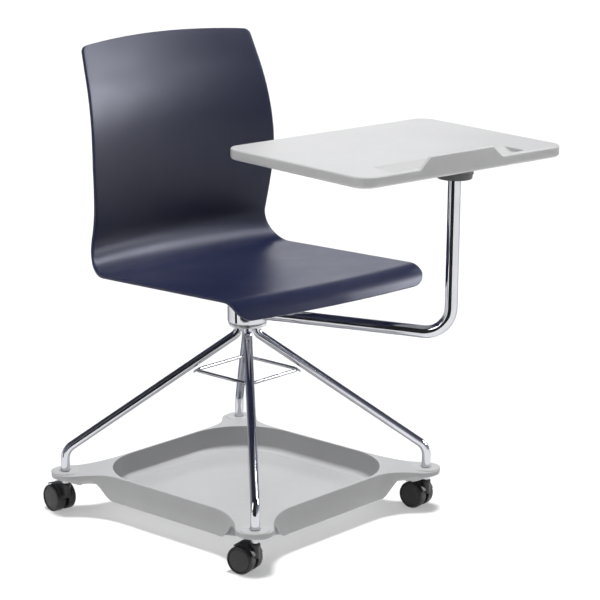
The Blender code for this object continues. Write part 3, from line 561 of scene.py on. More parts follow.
def shell_point(station, across_x):
    """A point of the sitting face, at a place across the shell in metres from its middle."""
    y, z, angle, part, share = station
    half = shell_half_width(part, share, z)
    middle = 1.0 - (across_x / half) ** 2
    away, forward = math.radians(angle - 90.0), math.radians(angle)
    bow = shell_bow(part, share) * middle
    bulge = -FRONT_BULGE * (1.0 - smooth((y - LIP_START_Y) / FRONT_BULGE_RUN)) * middle if part <= 2 else 0.0
    crown = TOP_CROWN * smooth((z - TOP_CROWN_START_Z) / TOP_CROWN_RISE) * middle if part >= 5 else 0.0
    point_y = y + bow * math.cos(away) + bulge + crown * math.cos(forward)
    point_z = z + bow * math.sin(away) + crown * math.sin(forward)
    return Vector((HUB.x + across_x, HUB.y + point_y, point_z))


def shell_grid():
    """Rows of points on the sitting face, kept back from the outline by the edge's rounding."""
    grid = []
    for run, left, station in shell_rows():
        half = shell_half_width(station[3], station[4], station[1]) - EDGE_ROUNDING
        width = half - corner_loss(run, FRONT_REACH) - corner_loss(left, TOP_REACH)
        grid.append([shell_point(station, width * (2.0 * column / SHELL_COLUMNS - 1.0))
                     for column in range(SHELL_COLUMNS + 1)])
    return grid


def grid_normals(grid):
    """Unit normals of a grid of points, towards the sitter."""
    normals = []
    last_row, last_column = len(grid) - 1, len(grid[0]) - 1
    for i, row in enumerate(grid):
        row_normals = []
        for j in range(len(row)):
            along = grid[min(i + 1, last_row)][j] - grid[max(i - 1, 0)][j]
            across = row[min(j + 1, last_column)] - row[max(j - 1, 0)]
            row_normals.append(across.cross(along).normalized())
        normals.append(row_normals)
    return normals


def make_shell():
    grid = shell_grid()
    normals = grid_normals(grid)
    rows, columns = len(grid), len(grid[0])
    bm = bmesh.new()
    front = [[bm.verts.new(point) for point in row] for row in grid]
    back = [[bm.verts.new(point - normal * SHELL_THICKNESS) for point, normal in zip(row, normal_row)]
            for row, normal_row in zip(grid, normals)]
    for i in range(rows - 1):
        for j in range(columns - 1):
            bm.faces.new((front[i][j], front[i][j + 1], front[i + 1][j + 1], front[i + 1][j]))
            bm.faces.new((back[i][j], back[i + 1][j], back[i + 1][j + 1], back[i][j + 1]))
    border = [(0, j) for j in range(columns - 1)] + [(i, columns - 1) for i in range(rows - 1)]
    border += [(rows - 1, j) for j in range(columns - 1, 0, -1)] + [(i, 0) for i in range(rows - 1, 0, -1)]
    rim = [[front[i][j] for i, j in border]]
    flat = SHELL_THICKNESS / 2.0 - EDGE_ROUNDING
    quarter = [math.radians(angle) for angle in (22.5, 45.0, 67.5, 90.0)]
    profile = [(flat + EDGE_ROUNDING * math.cos(turn), EDGE_ROUNDING * math.sin(turn)) for turn in quarter]
    profile += [(-up, out) for up, out in reversed(profile)]
    for up, out in profile:
        ring = []
        for k, (i, j) in enumerate(border):
            ahead, behind = border[(k + 1) % len(border)], border[k - 1]
            tangent = (grid[ahead[0]][ahead[1]] - grid[behind[0]][behind[1]]).normalized()
            normal = normals[i][j]
            outward = tangent.cross(normal).normalized()
            middle = grid[i][j] - normal * SHELL_THICKNESS / 2.0
            ring.append(bm.verts.new(middle + normal * up + outward * out))
        rim.append(ring)
    rim.append([back[i][j] for i, j in border])
    skin_rings(bm, rim)
    add_piece("seat_shell_skin", bm, NAVY, "seat", ["seat_shell"], 75.0)
    make_bosses()


BOSS_BORE, BOSS_RADIUS, BOSS_FOOT_RADIUS = 0.0034, 0.010, 0.0105
BOSS_FRONT_REACH, BOSS_BACK_REACH = 0.0165, 0.0105
CLEARANCE = 0.0003


def make_bosses():
    """Four plain bosses under the seat, that the plate's bolts go into."""
    plate_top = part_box("seat_plate")[1].z
    bm = bmesh.new()
    for index in range(1, 5):
        low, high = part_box("seat_bolt_%d" % index)
        centre = (low + high) / 2.0
        reach = BOSS_FRONT_REACH if centre.y < HUB.y else BOSS_BACK_REACH
        outline = rounded([(BOSS_BORE, plate_top + CLEARANCE), (BOSS_RADIUS, plate_top + CLEARANCE),
                           (BOSS_FOOT_RADIUS, plate_top + reach), (BOSS_BORE, plate_top + reach)],
                          [0.0004, 0.0008, 0.0, 0.0])
        add_turned(bm, outline, 32, place=Matrix.Translation((centre.x, centre.y, 0.0)))
    add_piece("seat_bosses", bm, NAVY, "seat")


# ------------ legs and brace

LEG_CIRCLE = 0.330
LEG_RADIUS, LEG_BORE = 0.008, 0.0055
LEG_HUB_CIRCLE = 0.016
LEG_UPPER_CORNER, LEG_LOWER_CORNER = 0.3372, 0.1180
LEG_UPPER_BEND, LEG_LOWER_BEND = 0.020, 0.031
BRACE_CORNER, BRACE_HEIGHT, BRACE_WIRE, BRACE_BEND = 0.0940, 0.2672, 0.003, 0.012
BRACE_BEAD, LEG_BEAD, LEG_BEAD_CIRCLE = 0.0013, 0.0014, 0.0086


def leg_place(name):
    """Matrix from a leg's own plane (outwards along +X) to the chair."""
    turn = heading(HUB_XY, LEG_XY[name])
    return Matrix.Translation(HUB_XY) @ Matrix.Rotation(turn, 4, "Z")


def make_legs():
    circle = (LEG_XY["front_left"] - HUB_XY).length
    for name in LEG_NAMES:
        low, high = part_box("leg_" + name)
        corners = [(LEG_HUB_CIRCLE, 0.0, high.z), (LEG_HUB_CIRCLE, 0.0, LEG_UPPER_CORNER),
                   (circle, 0.0, LEG_LOWER_CORNER), (circle, 0.0, low.z)]
        path = bent_path(corners, (LEG_UPPER_BEND, LEG_LOWER_BEND))
        bm = bmesh.new()
        add_swept(bm, path, LEG_RADIUS, 32, Vector((0, 1, 0)), bore=LEG_BORE)
        bmesh.ops.transform(bm, matrix=leg_place(name), verts=bm.verts)
        add_piece("leg_tube_" + name, bm, CHROME, "base", ["leg_" + name], 50.0)


def bead_ripple(share):
    """The overlapping scales of a weld bead, tapered at both ends."""
    return (0.75 + 0.25 * abs(math.sin(share * 14.0))) * math.sqrt(max(0.02, math.sin(math.pi * share)))


def make_brace():
    corners = []
    turn = heading(HUB_XY, LEG_XY["back_left"])
    for quarter in range(4):
        angle = turn + math.radians(90.0 * quarter)
        offset = Vector((BRACE_CORNER * math.cos(angle), BRACE_CORNER * math.sin(angle), BRACE_HEIGHT))
        corners.append(HUB_XY + offset)
    middle = (corners[0] + corners[-1]) / 2.0
    loop = bent_path([middle] + corners + [middle], [BRACE_BEND] * 4)
    bm = bmesh.new()
    add_swept(bm, loop[:-1], BRACE_WIRE, 20, Vector((0, 0, 1)), closed=True)
    add_piece("brace_wire", bm, WIRE_CHROME, "base", ["brace_ring"])


def make_weld_beads():
    """Beads where the brace meets each leg, and where each leg meets the flange."""
    slope = (LEG_UPPER_CORNER - LEG_LOWER_CORNER) / (LEG_CIRCLE - LEG_HUB_CIRCLE)
    reach, height, upright = BRACE_CORNER + 0.0008, BRACE_HEIGHT + 0.0012, Vector((0, 0, 1))
    for name in LEG_NAMES:
        bm = bmesh.new()
        for side in (-1.0, 1.0):
            start = Vector((reach - 0.005, side * 0.0052, height))
            end = Vector((reach + 0.003, side * 0.0036, height - 0.008 * slope))
            path = [start.lerp(end, i / 20) for i in range(21)]
            add_swept(bm, path, BRACE_BEAD, 10, upright, ripple=bead_ripple)
        circle = arc((LEG_HUB_CIRCLE, 0.0), LEG_BEAD_CIRCLE, -100.0, 100.0, 40)
        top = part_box("leg_" + name)[1].z
        ring = [Vector((x, y, top - 0.0006)) for x, y in circle]
        add_swept(bm, ring, LEG_BEAD, 10, upright, ripple=bead_ripple)
        bmesh.ops.transform(bm, matrix=leg_place(name), verts=bm.verts)
        add_piece("weld_" + name, bm, CHROME, "base")


# ------------ hub

SPINDLE_BORE, SLEEVE_RADIUS, NUT_POCKET_RADIUS, NUT_POCKET_FLOOR = 0.0128, 0.0160, 0.0200, 0.4180


def make_hub():
    low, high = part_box("seat_hub")
    radius = (high.x - low.x) / 2.0
    cap_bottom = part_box("arm_collar")[1].z + CLEARANCE
    centre = Matrix.Translation(HUB_XY)
    outline = rounded([(SPINDLE_BORE, low.z), (SLEEVE_RADIUS, low.z), (SLEEVE_RADIUS, cap_bottom),
                       (radius, cap_bottom), (radius, high.z), (NUT_POCKET_RADIUS, high.z),
                       (NUT_POCKET_RADIUS, NUT_POCKET_FLOOR), (SPINDLE_BORE, NUT_POCKET_FLOOR)],
                      [0.0, 0.0, 0.0, 0.0008, 0.0020, 0.0005, 0.0, 0.0])
    turned_piece("hub_cap", outline, 96, centre, CHROME, "seat", ["seat_hub"])

    low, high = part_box("leg_hub")
    radius = (high.x - low.x) / 2.0
    outline = rounded([(SPINDLE_BORE, low.z), (radius, low.z), (radius, high.z), (SPINDLE_BORE, high.z)],
                      [0.0, 0.0012, 0.0012, 0.0], 5)
    turned_piece("leg_flange", outline, 96, centre, PLATED, "base", ["leg_hub"])


ARM_RADIUS, ARM_BORE, ARM_BEND, ARM_HEIGHT = 0.0112, 0.0092, 0.050, 0.376
ARM_POCKET_DEPTH, COLLAR_BORE, COLLAR_RECESS, RECESS_DEPTH = 0.008, 0.0186, 0.0233, 0.0023
ARM_BEAD, ARM_BEAD_CLEARANCE = 0.0013, 0.0004


def make_arm():
    low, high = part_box("arm_collar")
    radius = (high.x - low.x) / 2.0
    turn = heading(HUB_XY, POST_XY)
    place = Matrix.Translation(HUB_XY) @ Matrix.Rotation(turn, 4, "Z")
    bush_bore, recess, step = COLLAR_BORE, COLLAR_RECESS, RECESS_DEPTH
    outline = rounded([(recess, low.z), (radius, low.z), (radius, high.z), (recess, high.z),
                       (recess, high.z - step), (bush_bore, high.z - step),
                       (bush_bore, low.z + step), (recess, low.z + step)],
                      [0.0, 0.0012, 0.0008, 0.0, 0.0, 0.0, 0.0, 0.0])
    collar = turned_piece("arm_collar_body", outline, 96, place, CHROME, "arm", ["arm_collar"])
    along_x = Matrix.Translation((0, 0, ARM_HEIGHT)) @ Matrix.Rotation(math.radians(90.0), 4, "Y")
    bm = bmesh.new()
    inner, outer = radius - ARM_POCKET_DEPTH, radius + 0.01
    add_turned(bm, [(0.0, inner), (ARM_RADIUS + CLEARANCE, inner), (ARM_RADIUS + CLEARANCE, outer),
                    (0.0, outer)], 48, closed=False, place=place @ along_x)
    carve(collar, bm)

    reach = (POST_XY - HUB_XY).length
    post_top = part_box("arm_tube")[1].z
    corners = [(inner + CLEARANCE, 0.0, ARM_HEIGHT), (reach, 0.0, ARM_HEIGHT), (reach, 0.0, post_top)]
    bm = bmesh.new()
    add_swept(bm, bent_path(corners, (ARM_BEND,), 24), ARM_RADIUS, 40, Vector((0, 1, 0)), bore=ARM_BORE)
    bmesh.ops.transform(bm, matrix=place, verts=bm.verts)
    add_piece("arm_post", bm, CHROME, "arm", ["arm_tube"], 50.0)

    bm = bmesh.new()
    bead_circle = ARM_RADIUS + ARM_BEAD_CLEARANCE
    ring = []
    for angle in [math.tau * i / 64 for i in range(64)]:
        side = bead_circle * math.cos(angle)
        depth = math.sqrt(radius * radius - side * side)
        ring.append(Vector((depth + ARM_BEAD_CLEARANCE, side, ARM_HEIGHT + bead_circle * math.sin(angle))))
    add_swept(bm, ring, ARM_BEAD, 10, Vector((1, 0, 0)), closed=True,
              ripple=lambda share: 0.8 + 0.2 * abs(math.sin(share * 50.0)))
    bmesh.ops.transform(bm, matrix=place, verts=bm.verts)
    add_piece("arm_weld", bm, CHROME, "arm")


# ------------ tablet

TABLET_CORNER = 0.030
LIP_HEIGHT, LIP_THICKNESS = 0.020, 0.007
LIP_BASE, LIP_CREST, LIP_OFFSET = 0.100, 0.074, -0.016
TROUGH_HALF_LENGTH, TROUGH_WIDTH, TROUGH_DEPTH, TROUGH_INSET = 0.150, 0.036, 0.009, 0.012
TROUGH_SLOPE, TROUGH_CORNER, TROUGH_EDGE, TROUGH_FOOT = 0.016, 0.006, 0.0012, 0.0035
LIP_INNER_ROUNDING, LIP_FOOT_ROUNDING, LIP_SLANT_BLEND = 0.0022, 0.0012, 0.10
TABLET_TOP_ROUNDING, TABLET_BOTTOM_ROUNDING = 0.0030, 0.0060


def tablet_frame():
    """Centre, half sizes and heights of the slab, without the lip."""
    low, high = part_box("tablet_top")
    centre = (low + high) / 2.0
    half_x, half_y = (high.x - low.x) / 2.0, (high.y - low.y) / 2.0
    return Vector((centre.x, centre.y, 0.0)), half_x, half_y, low.z, high.z - LIP_HEIGHT


def lip_lift(x, y, half_y):
    """Height of the lip above the slab at a point of the outline; its ends are slanted."""
    if y > -half_y + 0.001:
        return 0.0
    beyond = abs(x - LIP_OFFSET) - LIP_CREST
    ramp = min(1.0, max(0.0, 1.0 - beyond / (LIP_BASE - LIP_CREST)))
    soft = LIP_SLANT_BLEND
    if ramp < soft:
        ramp = ramp * ramp / (2.0 * soft)
    elif ramp > 1.0 - soft:
        ramp = 1.0 - soft / 2.0 - (1.0 - ramp) ** 2 / (2.0 * soft)
    else:
        ramp -= soft / 2.0
    return LIP_HEIGHT * ramp / (1.0 - soft / 2.0) if ramp < 1.0 else LIP_HEIGHT


def make_tablet():
    centre, half_x, half_y, bottom, top = tablet_frame()
    outline = densified(rounded_rectangle(half_x, half_y, TABLET_CORNER, 14), 0.0025)
    lifts = [lip_lift(x, y, half_y) for x, y in outline]
    tallest = max(lifts)
    lifts = [lift * LIP_HEIGHT / tallest for lift in lifts]
    low_r, top_r = TABLET_BOTTOM_ROUNDING, TABLET_TOP_ROUNDING
    loops = []

    def add_loop(distance, height_at):
        loops.append([(x, y, height_at(lift)) for (x, y), lift in zip(inset(outline, distance), lifts)])

    add_loop(low_r + 0.0006, lambda lift: bottom)
    for sin, cos in quarter_turn(6):
        add_loop(low_r * (1.0 - sin), lambda lift: bottom + low_r * (1.0 - cos))
    for sin, cos in quarter_turn(6):
        add_loop(top_r * (1.0 - cos), lambda lift: top + lift - top_r * (1.0 - sin))
    inner_r, foot_r = LIP_INNER_ROUNDING, LIP_FOOT_ROUNDING
    for sin, cos in quarter_turn(6):
        add_loop(LIP_THICKNESS - inner_r * (1.0 - sin),
                 lambda lift: top + max(0.0, lift - inner_r * (1.0 - cos)))
    for sin, cos in quarter_turn(4):
        add_loop(LIP_THICKNESS + foot_r * (1.0 - cos) + 0.0002,
                 lambda lift: top + min(lift, foot_r * (1.0 - sin)))
    add_loop(LIP_THICKNESS + 0.0022, lambda lift: top)
    bm = bmesh.new()
    rings = [[bm.verts.new(point) for point in loop] for loop in loops]
    skin_rings(bm, rings)
    bm.faces.new(rings[0])
    edges = ring_edges(bm, rings[-1])

    trough_y = -half_y + TROUGH_INSET + TROUGH_WIDTH / 2.0
    trough = []

    def add_trough_loop(grow, height):
        """One level of the pen trough; its far side and one end rise gently to the writing surface."""
        corner = TROUGH_CORNER + max(grow, -TROUGH_FOOT)
        shape = rounded_rectangle(TROUGH_HALF_LENGTH + grow, TROUGH_WIDTH / 2.0 + grow, corner, 8)
        rise = TROUGH_SLOPE * max(0.0, 1.0 - (top - height) / TROUGH_DEPTH)
        moved = [(x - rise * smooth(-x / 0.01), y + rise * smooth(y / 0.01)) for x, y in shape]
        trough.append([bm.verts.new((x, y + trough_y, height)) for x, y in moved])

    add_trough_loop(TROUGH_EDGE + 0.0004, top)
    for sin, cos in quarter_turn(4):
        add_trough_loop(TROUGH_EDGE * (1.0 - sin), top - TROUGH_EDGE * (1.0 - cos))
    for sin, cos in quarter_turn(5):
        add_trough_loop(-TROUGH_FOOT * (1.0 - cos), top - TROUGH_DEPTH + TROUGH_FOOT * (1.0 - sin))
    skin_rings(bm, trough)
    bm.faces.new(trough[-1])
    edges += ring_edges(bm, trough[0])
    bmesh.ops.triangle_fill(bm, edges=edges, use_beauty=True, use_dissolve=False)
    bmesh.ops.translate(bm, verts=bm.verts, vec=centre)
    add_piece("tablet_slab", bm, TABLET_GREY, "tablet", ["tablet_top"], 50.0)


SOCKET_GROOVES = (0.0185, 0.0285)
SOCKET_BORE, SOCKET_ROOF, SOCKET_STEP = 0.0135, 0.0032, 0.0078
SCREW_HEAD_RADIUS, SCREW_HEAD_DEPTH = 0.0040, 0.0033


def make_socket():
    low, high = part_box("tablet_socket")
    radius = (high.x - low.x) / 2.0
    bottom, top = low.z, high.z
    bore, bore_top = SOCKET_BORE, top - SOCKET_ROOF
    points = [(0.0, bore_top), (bore, bore_top), (bore, bottom)]
    radii = [0.0, 0.0, 0.0006]
    for groove in SOCKET_GROOVES:
        points += [(groove - 0.0008, bottom), (groove - 0.0005, bottom + 0.0009),
                   (groove + 0.0005, bottom + 0.0009), (groove + 0.0008, bottom)]
        radii += [0.0002] * 4
    points += [(radius - 0.0020, bottom), (radius - 0.0012, bottom + SOCKET_STEP - 0.0003),
               (radius, bottom + SOCKET_STEP), (radius, top), (0.0, top)]
    radii += [0.0014, 0.0003, 0.0004, 0.0006, 0.0]
    socket = turned_piece("tablet_socket_body", rounded(points, radii), 96, Matrix.Translation(POST_XY),
                          SOCKET_GREY, "tablet", ["tablet_socket"], 30.0, closed=False)
    bm = bmesh.new()
    for index in range(1, 5):
        low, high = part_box("socket_screw_%d" % index)
        spot = Matrix.Translation(((low.x + high.x) / 2.0, (low.y + high.y) / 2.0, 0.0))
        below, seat = bottom - 0.01, bottom + SCREW_HEAD_DEPTH
        add_turned(bm, [(0.0, below), (SCREW_HEAD_RADIUS, below), (SCREW_HEAD_RADIUS, seat), (0.0, seat)], 32,
                   closed=False, place=spot)
    carve(socket, bm, sharp=30.0)


# ------------ book tray

TRAY_HALF, TRAY_WALL, TRAY_CORNER = 0.2110, 0.0035, 0.1200
TRAY_RIM, TRAY_LOBE_TOP, TRAY_LOBE_UNDERSIDE = 0.0850, 0.0780, 0.0690
TRAY_BOTTOM, TRAY_FLOOR, TRAY_PLATE = 0.0360, 0.0395, 0.0040
LOBE_END_RADIUS, LOBE_END_CENTRE, LOBE_FILLET = 0.0335, 0.322, 0.120
RIM_FALL_START, SKIRT_RISE_START, SKIRT_RISE_RUN = 0.2387, 0.2430, 0.0390
TRAY_EDGE, BASIN_EDGE, BASIN_FILLET, BASIN_DRAFT = 0.0014, 0.0012, 0.0090, 0.0016
LEDGE_WIDTH, LEDGE_HEIGHT = 0.0080, 0.0010
HOLLOW_CENTRE, HOLLOW_WALL_RADIUS, HOLLOW_CUT_RADIUS = 0.091, 0.1245, 0.1235
LEG_HOLE, DISC_INNER, DISC_RADIUS, DISC_TOP = 0.0083, 0.0112, 0.0262, 0.0794
LOBE_BOSS_RADIUS, LOBE_BOSS_BOTTOM = 0.0160, 0.0670


def tray_outline():
    """The lobed outline: straight walls, concave fillets, and a round end at each leg."""
    end = LOBE_END_CENTRE / math.sqrt(2.0)
    across = TRAY_HALF + LOBE_FILLET - end
    reach = LOBE_FILLET + LOBE_END_RADIUS
    fillet_y = end - math.sqrt(reach * reach - across * across)
    meet = math.degrees(math.atan2(end - fillet_y, across))
    fillet = arc((TRAY_HALF + LOBE_FILLET, fillet_y), LOBE_FILLET, 180.0, 180.0 - meet, 40)
    nose = arc((end, end), LOBE_END_RADIUS, -meet, 90.0 + meet, 48)
    quarter = fillet + nose[1:-1] + [(y, x) for x, y in reversed(fillet)]
    outline = []
    for turns in range(4):
        cos, sin = round(math.cos(turns * math.pi / 2.0)), round(math.sin(turns * math.pi / 2.0))
        outline += [(x * cos - y * sin, x * sin + y * cos) for x, y in quarter]
    return densified(outline, 0.006)


def basin_point(x, y, half, corner):
    """The point of a rounded square in the same direction as (x, y), found by bisection."""
    straight = half - corner
    angle = math.atan2(abs(y), abs(x))
    low, high = 0.0, half * 2.0
    for _ in range(40):
        middle = (low + high) / 2.0
        px, py = middle * math.cos(angle), middle * math.sin(angle)
        over = math.hypot(max(px - straight, 0.0), max(py - straight, 0.0)) - corner
        low, high = (middle, high) if over <= 0.0 else (low, middle)
    return math.copysign(low * math.cos(angle), x), math.copysign(low * math.sin(angle), y)


def tray_top_height(x, y):
    fall = smooth((math.hypot(x, y) - RIM_FALL_START) / (LEG_CIRCLE - RIM_FALL_START))
    return TRAY_RIM + (TRAY_LOBE_TOP - TRAY_RIM) * fall


def skirt_height(x, y):
    """Lower edge of the skirt, which lifts in an S-curve towards a lobe."""
    along = (abs(x) + abs(y)) / math.sqrt(2.0)
    rise = smooth((along - SKIRT_RISE_START) / SKIRT_RISE_RUN)
    return TRAY_BOTTOM + (TRAY_LOBE_UNDERSIDE - TRAY_BOTTOM) * rise


def tray_loops():
    outline = tray_outline()
    loops = []
    half = TRAY_HALF - TRAY_WALL

    def outer(distance, height_at):
        loops.append([(x, y, height_at(*edge)) for (x, y), edge in zip(inset(outline, distance), outline)])

    def basin(grow, height):
        shape = [basin_point(x, y, half + grow, TRAY_CORNER + grow) for x, y in outline]
        loops.append([(x, y, height) for x, y in shape])

    plate = [basin_point(x, y, half + 0.002, TRAY_CORNER + 0.002) for x, y in outline]
    loops.append([(x, y, TRAY_BOTTOM) for x, y in plate])
    outer(0.0012, skirt_height)
    outer(0.0003, lambda x, y: skirt_height(x, y) + 0.0003)
    outer(0.0, lambda x, y: skirt_height(x, y) + 0.0012)
    for sin, cos in quarter_turn(5):
        outer(TRAY_EDGE * (1.0 - cos), lambda x, y: tray_top_height(x, y) - TRAY_EDGE * (1.0 - sin))
    rim_start = inset(outline, TRAY_EDGE + 0.0003)
    rim_end = [basin_point(x, y, half + BASIN_EDGE + 0.0002, TRAY_CORNER + BASIN_EDGE) for x, y in outline]
    for step in range(9):
        loop = []
        for start, end in zip(rim_start, rim_end):
            place = Vector(start).lerp(Vector(end), step / 8)
            loop.append((place.x, place.y, tray_top_height(place.x, place.y)))
        loops.append(loop)
    for sin, cos in quarter_turn(5)[1:]:
        basin(BASIN_EDGE * (1.0 - sin), TRAY_RIM - BASIN_EDGE * (1.0 - cos))
    ledge = TRAY_FLOOR + LEDGE_HEIGHT
    for sin, cos in quarter_turn(8):
        basin(-BASIN_DRAFT - BASIN_FILLET * (1.0 - cos), ledge + BASIN_FILLET * (1.0 - sin))
    inside = BASIN_DRAFT + BASIN_FILLET
    for extra, height in ((0.0004, ledge), (LEDGE_WIDTH, ledge), (LEDGE_WIDTH + 0.0004, ledge - 0.0001),
                          (LEDGE_WIDTH + 0.0016, TRAY_FLOOR + 0.0001), (LEDGE_WIDTH + 0.0022, TRAY_FLOOR),
                          (LEDGE_WIDTH + 0.0032, TRAY_FLOOR)):
        basin(-inside - extra, height)
    return loops


def make_tray():
    turn = heading(HUB_XY, LEG_XY["back_left"]) - math.radians(45.0)
    place = Matrix.Translation(HUB_XY) @ Matrix.Rotation(turn, 4, "Z")
    bm = bmesh.new()
    add_loft(bm, [[place @ Vector(point) for point in loop] for loop in tray_loops()])
    tray = add_piece("tray_body", bm, TRAY_GREY, "base", ["book_tray"], 50.0)

    hollow = bmesh.new()
    outline = inset(tray_outline(), TRAY_WALL)
    ceiling, floor = TRAY_LOBE_TOP - TRAY_PLATE, TRAY_BOTTOM - 0.02
    for quarter in range(4):
        spin = Matrix.Rotation(math.radians(90.0 * quarter), 4, "Z")
        lobe = [(x, y) for x, y in outline if x > 0.0 and y > 0.0 and
                math.hypot(max(x - HOLLOW_CENTRE, 0.0), max(y - HOLLOW_CENTRE, 0.0)) > HOLLOW_WALL_RADIUS]
        start, end = [math.degrees(math.atan2(y - HOLLOW_CENTRE, x - HOLLOW_CENTRE))
                      for x, y in (lobe[0], lobe[-1])]
        back = arc((HOLLOW_CENTRE, HOLLOW_CENTRE), HOLLOW_CUT_RADIUS, end, start, 16)
        shape = [place @ spin @ Vector((x, y, 0.0)) for x, y in lobe + back]
        add_loft(hollow, [[point + Vector((0, 0, floor)) for point in shape],
                          [point + Vector((0, 0, ceiling)) for point in shape]])
    carve(tray, hollow, sharp=50.0)

    holes = bmesh.new()
    for name in LEG_NAMES:
        top = TRAY_RIM + 0.01
        add_turned(holes, [(0.0, TRAY_BOTTOM), (LEG_HOLE, TRAY_BOTTOM), (LEG_HOLE, top), (0.0, top)], 48,
                   closed=False, place=Matrix.Translation(LEG_XY[name]))
    carve(tray, holes, sharp=50.0)
    make_lobe_discs()


def make_lobe_discs():
    """A shallow raised disc round each leg, with a grommet recess, and a boss below the lobe."""
    outline = rounded([(LEG_HOLE, TRAY_LOBE_TOP), (DISC_INNER, TRAY_LOBE_TOP), (DISC_INNER, DISC_TOP),
                       (DISC_RADIUS, DISC_TOP), (DISC_RADIUS, TRAY_LOBE_TOP - 0.001),
                       (LOBE_BOSS_RADIUS, TRAY_LOBE_TOP - 0.0015), (LOBE_BOSS_RADIUS, LOBE_BOSS_BOTTOM),
                       (LEG_HOLE, LOBE_BOSS_BOTTOM)],
                      [0.0002, 0.0002, 0.0004, 0.0007, 0.0, 0.0, 0.0008, 0.0004])
    for name in LEG_NAMES:
        turned_piece("lobe_disc_" + name, outline, 64, Matrix.Translation(LEG_XY[name]), TRAY_GREY, "base")


# ------------ casters

WHEEL_RADIUS, WHEEL_HALF_WIDTH, WHEEL_GAP = 0.025, 0.00825, 0.0080
TRAIL, STEM_RADIUS, NECK_TOP = 0.0200, 0.0040, 0.0545
COLLAR_BOTTOM, COLLAR_TOP, INSERT_RADIUS = 0.0635, 0.0667, 0.0051


def caster_place(name):
    """Matrix from a caster's frame (trail along +X, stem at the origin) to the chair."""
    axle = Vector(JOINTS["wheel_roll_%s_left" % name]["pos_m"])
    turn = heading(LEG_XY[name], axle)
    return Matrix.Translation(LEG_XY[name]) @ Matrix.Rotation(turn, 4, "Z")


def wheel_outline():
    """Radius against width, from the outer face's middle to the inner face; +width is outwards."""
    half, r = WHEEL_HALF_WIDTH, WHEEL_RADIUS
    face = [(0.0, half - 0.0004), (0.0070, half - 0.0005), (0.0160, half - 0.0009), (0.0196, half - 0.0012)]
    groove = [(0.0200, half - 0.0018), (0.0206, half - 0.0018), (0.0210, half - 0.0007)]
    rim = rounded([(0.0216, half), (r, half - 0.0002), (r, -half + 0.0002), (0.0200, -half)],
                  [0.0, 0.0034, 0.0016, 0.0], 8)
    inner = [(0.0190, -half + 0.0020), (0.0090, -half + 0.0020), (0.0085, -half + 0.0004),
             (0.0033, -half + 0.0004), (0.0033, -half + 0.0030), (0.0, -half + 0.0030)]
    return face + groove + rim + inner


def make_wheels(name, place):
    for side, label in ((1.0, "left"), (-1.0, "right")):
        offset = side * (WHEEL_GAP / 2.0 + WHEEL_HALF_WIDTH)
        outward = Matrix.Rotation(math.radians(-90.0 * side), 4, "X")
        local = Matrix.Translation((TRAIL, offset, WHEEL_RADIUS)) @ outward
        node = "wheel_%s_%s" % (name, label)
        turned_piece("twin_" + node, wheel_outline(), 72, place @ local, WHEEL, node, [node],
                     35.0, closed=False)


def add_slab(bm, outline, half, edge):
    """An upright plate across Y from an (x, z) outline, with rounded edges."""
    steps = [(edge * (1.0 - sin), half - edge * (1.0 - cos)) for sin, cos in quarter_turn(3)]
    levels = [(pulled_in, -across) for pulled_in, across in steps] + steps[::-1]
    add_loft(bm, [[(x, across, z) for x, z in inset(outline, pulled_in)] for pulled_in, across in levels])


def make_hood(name, place):
    """A caster's body: a disc between the wheels, a fender over them, a rib and the stem's neck."""
    bm = bmesh.new()
    centre = (TRAIL, WHEEL_RADIUS)
    add_slab(bm, arc(centre, 0.0190, 0.0, 352.5, 47), 0.0032, 0.0006)
    fender = arc(centre, 0.0284, 62.0, 158.0, 32) + arc(centre, 0.0262, 158.0, 62.0, 32)
    add_slab(bm, fender, 0.0165, 0.0010)
    rib = arc(centre, 0.0276, 95.0, 165.0, 16) + arc(centre, 0.0150, 165.0, 95.0, 10)
    add_slab(bm, rib, 0.0030, 0.0005)
    neck = rounded([(STEM_RADIUS, 0.0290), (0.0080, 0.0290), (0.0082, 0.0460), (0.0092, 0.0490),
                    (0.0092, NECK_TOP), (STEM_RADIUS, NECK_TOP)], [0.0, 0.0, 0.0020, 0.0010, 0.0010, 0.0])
    add_turned(bm, neck, 48)
    bmesh.ops.recalc_face_normals(bm, faces=bm.faces)
    bmesh.ops.transform(bm, matrix=place, verts=bm.verts)
    add_piece("hood_" + name, bm, BLACK, "caster_" + name, ["caster_hood_" + name], 35.0,
              merge=False)


def make_foot(name):
    low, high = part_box("foot_insert_" + name)
    outline = rounded([(STEM_RADIUS, low.z), (0.0072, low.z), (0.0072, COLLAR_BOTTOM),
                       (0.0120, COLLAR_BOTTOM), (0.0120, COLLAR_TOP), (INSERT_RADIUS, COLLAR_TOP),
                       (INSERT_RADIUS, high.z), (STEM_RADIUS, high.z)],
                      [0.0, 0.0008, 0.0006, 0.0005, 0.0005, 0.0, 0.0, 0.0])
    turned_piece("foot_collar_" + name, outline, 48, Matrix.Translation(LEG_XY[name]), PLATED, "base",
                 ["foot_insert_" + name], 30.0)


# ------------ hidden pieces keep their CAD shape

def finish_kept_nodes():
    nylon_nodes = ("thrust_washer", "arm_bush", "post_bush")
    replaced_nodes = ("seat_shell", "seat_hub", "leg_", "brace_ring", "arm_collar", "arm_tube", "tablet_top",
                      "tablet_socket", "book_tray", "wheel_", "caster_hood", "foot_insert")
    for name, node in frame["nodes"].items():
        if name.startswith(replaced_nodes):
            continue
        finish = NYLON if name.startswith(nylon_nodes) else PLATED
        for slot in node.material_slots:
            slot.material = finish


# ------------ stage, light and camera

FLOOR_RADIUS = 40.0


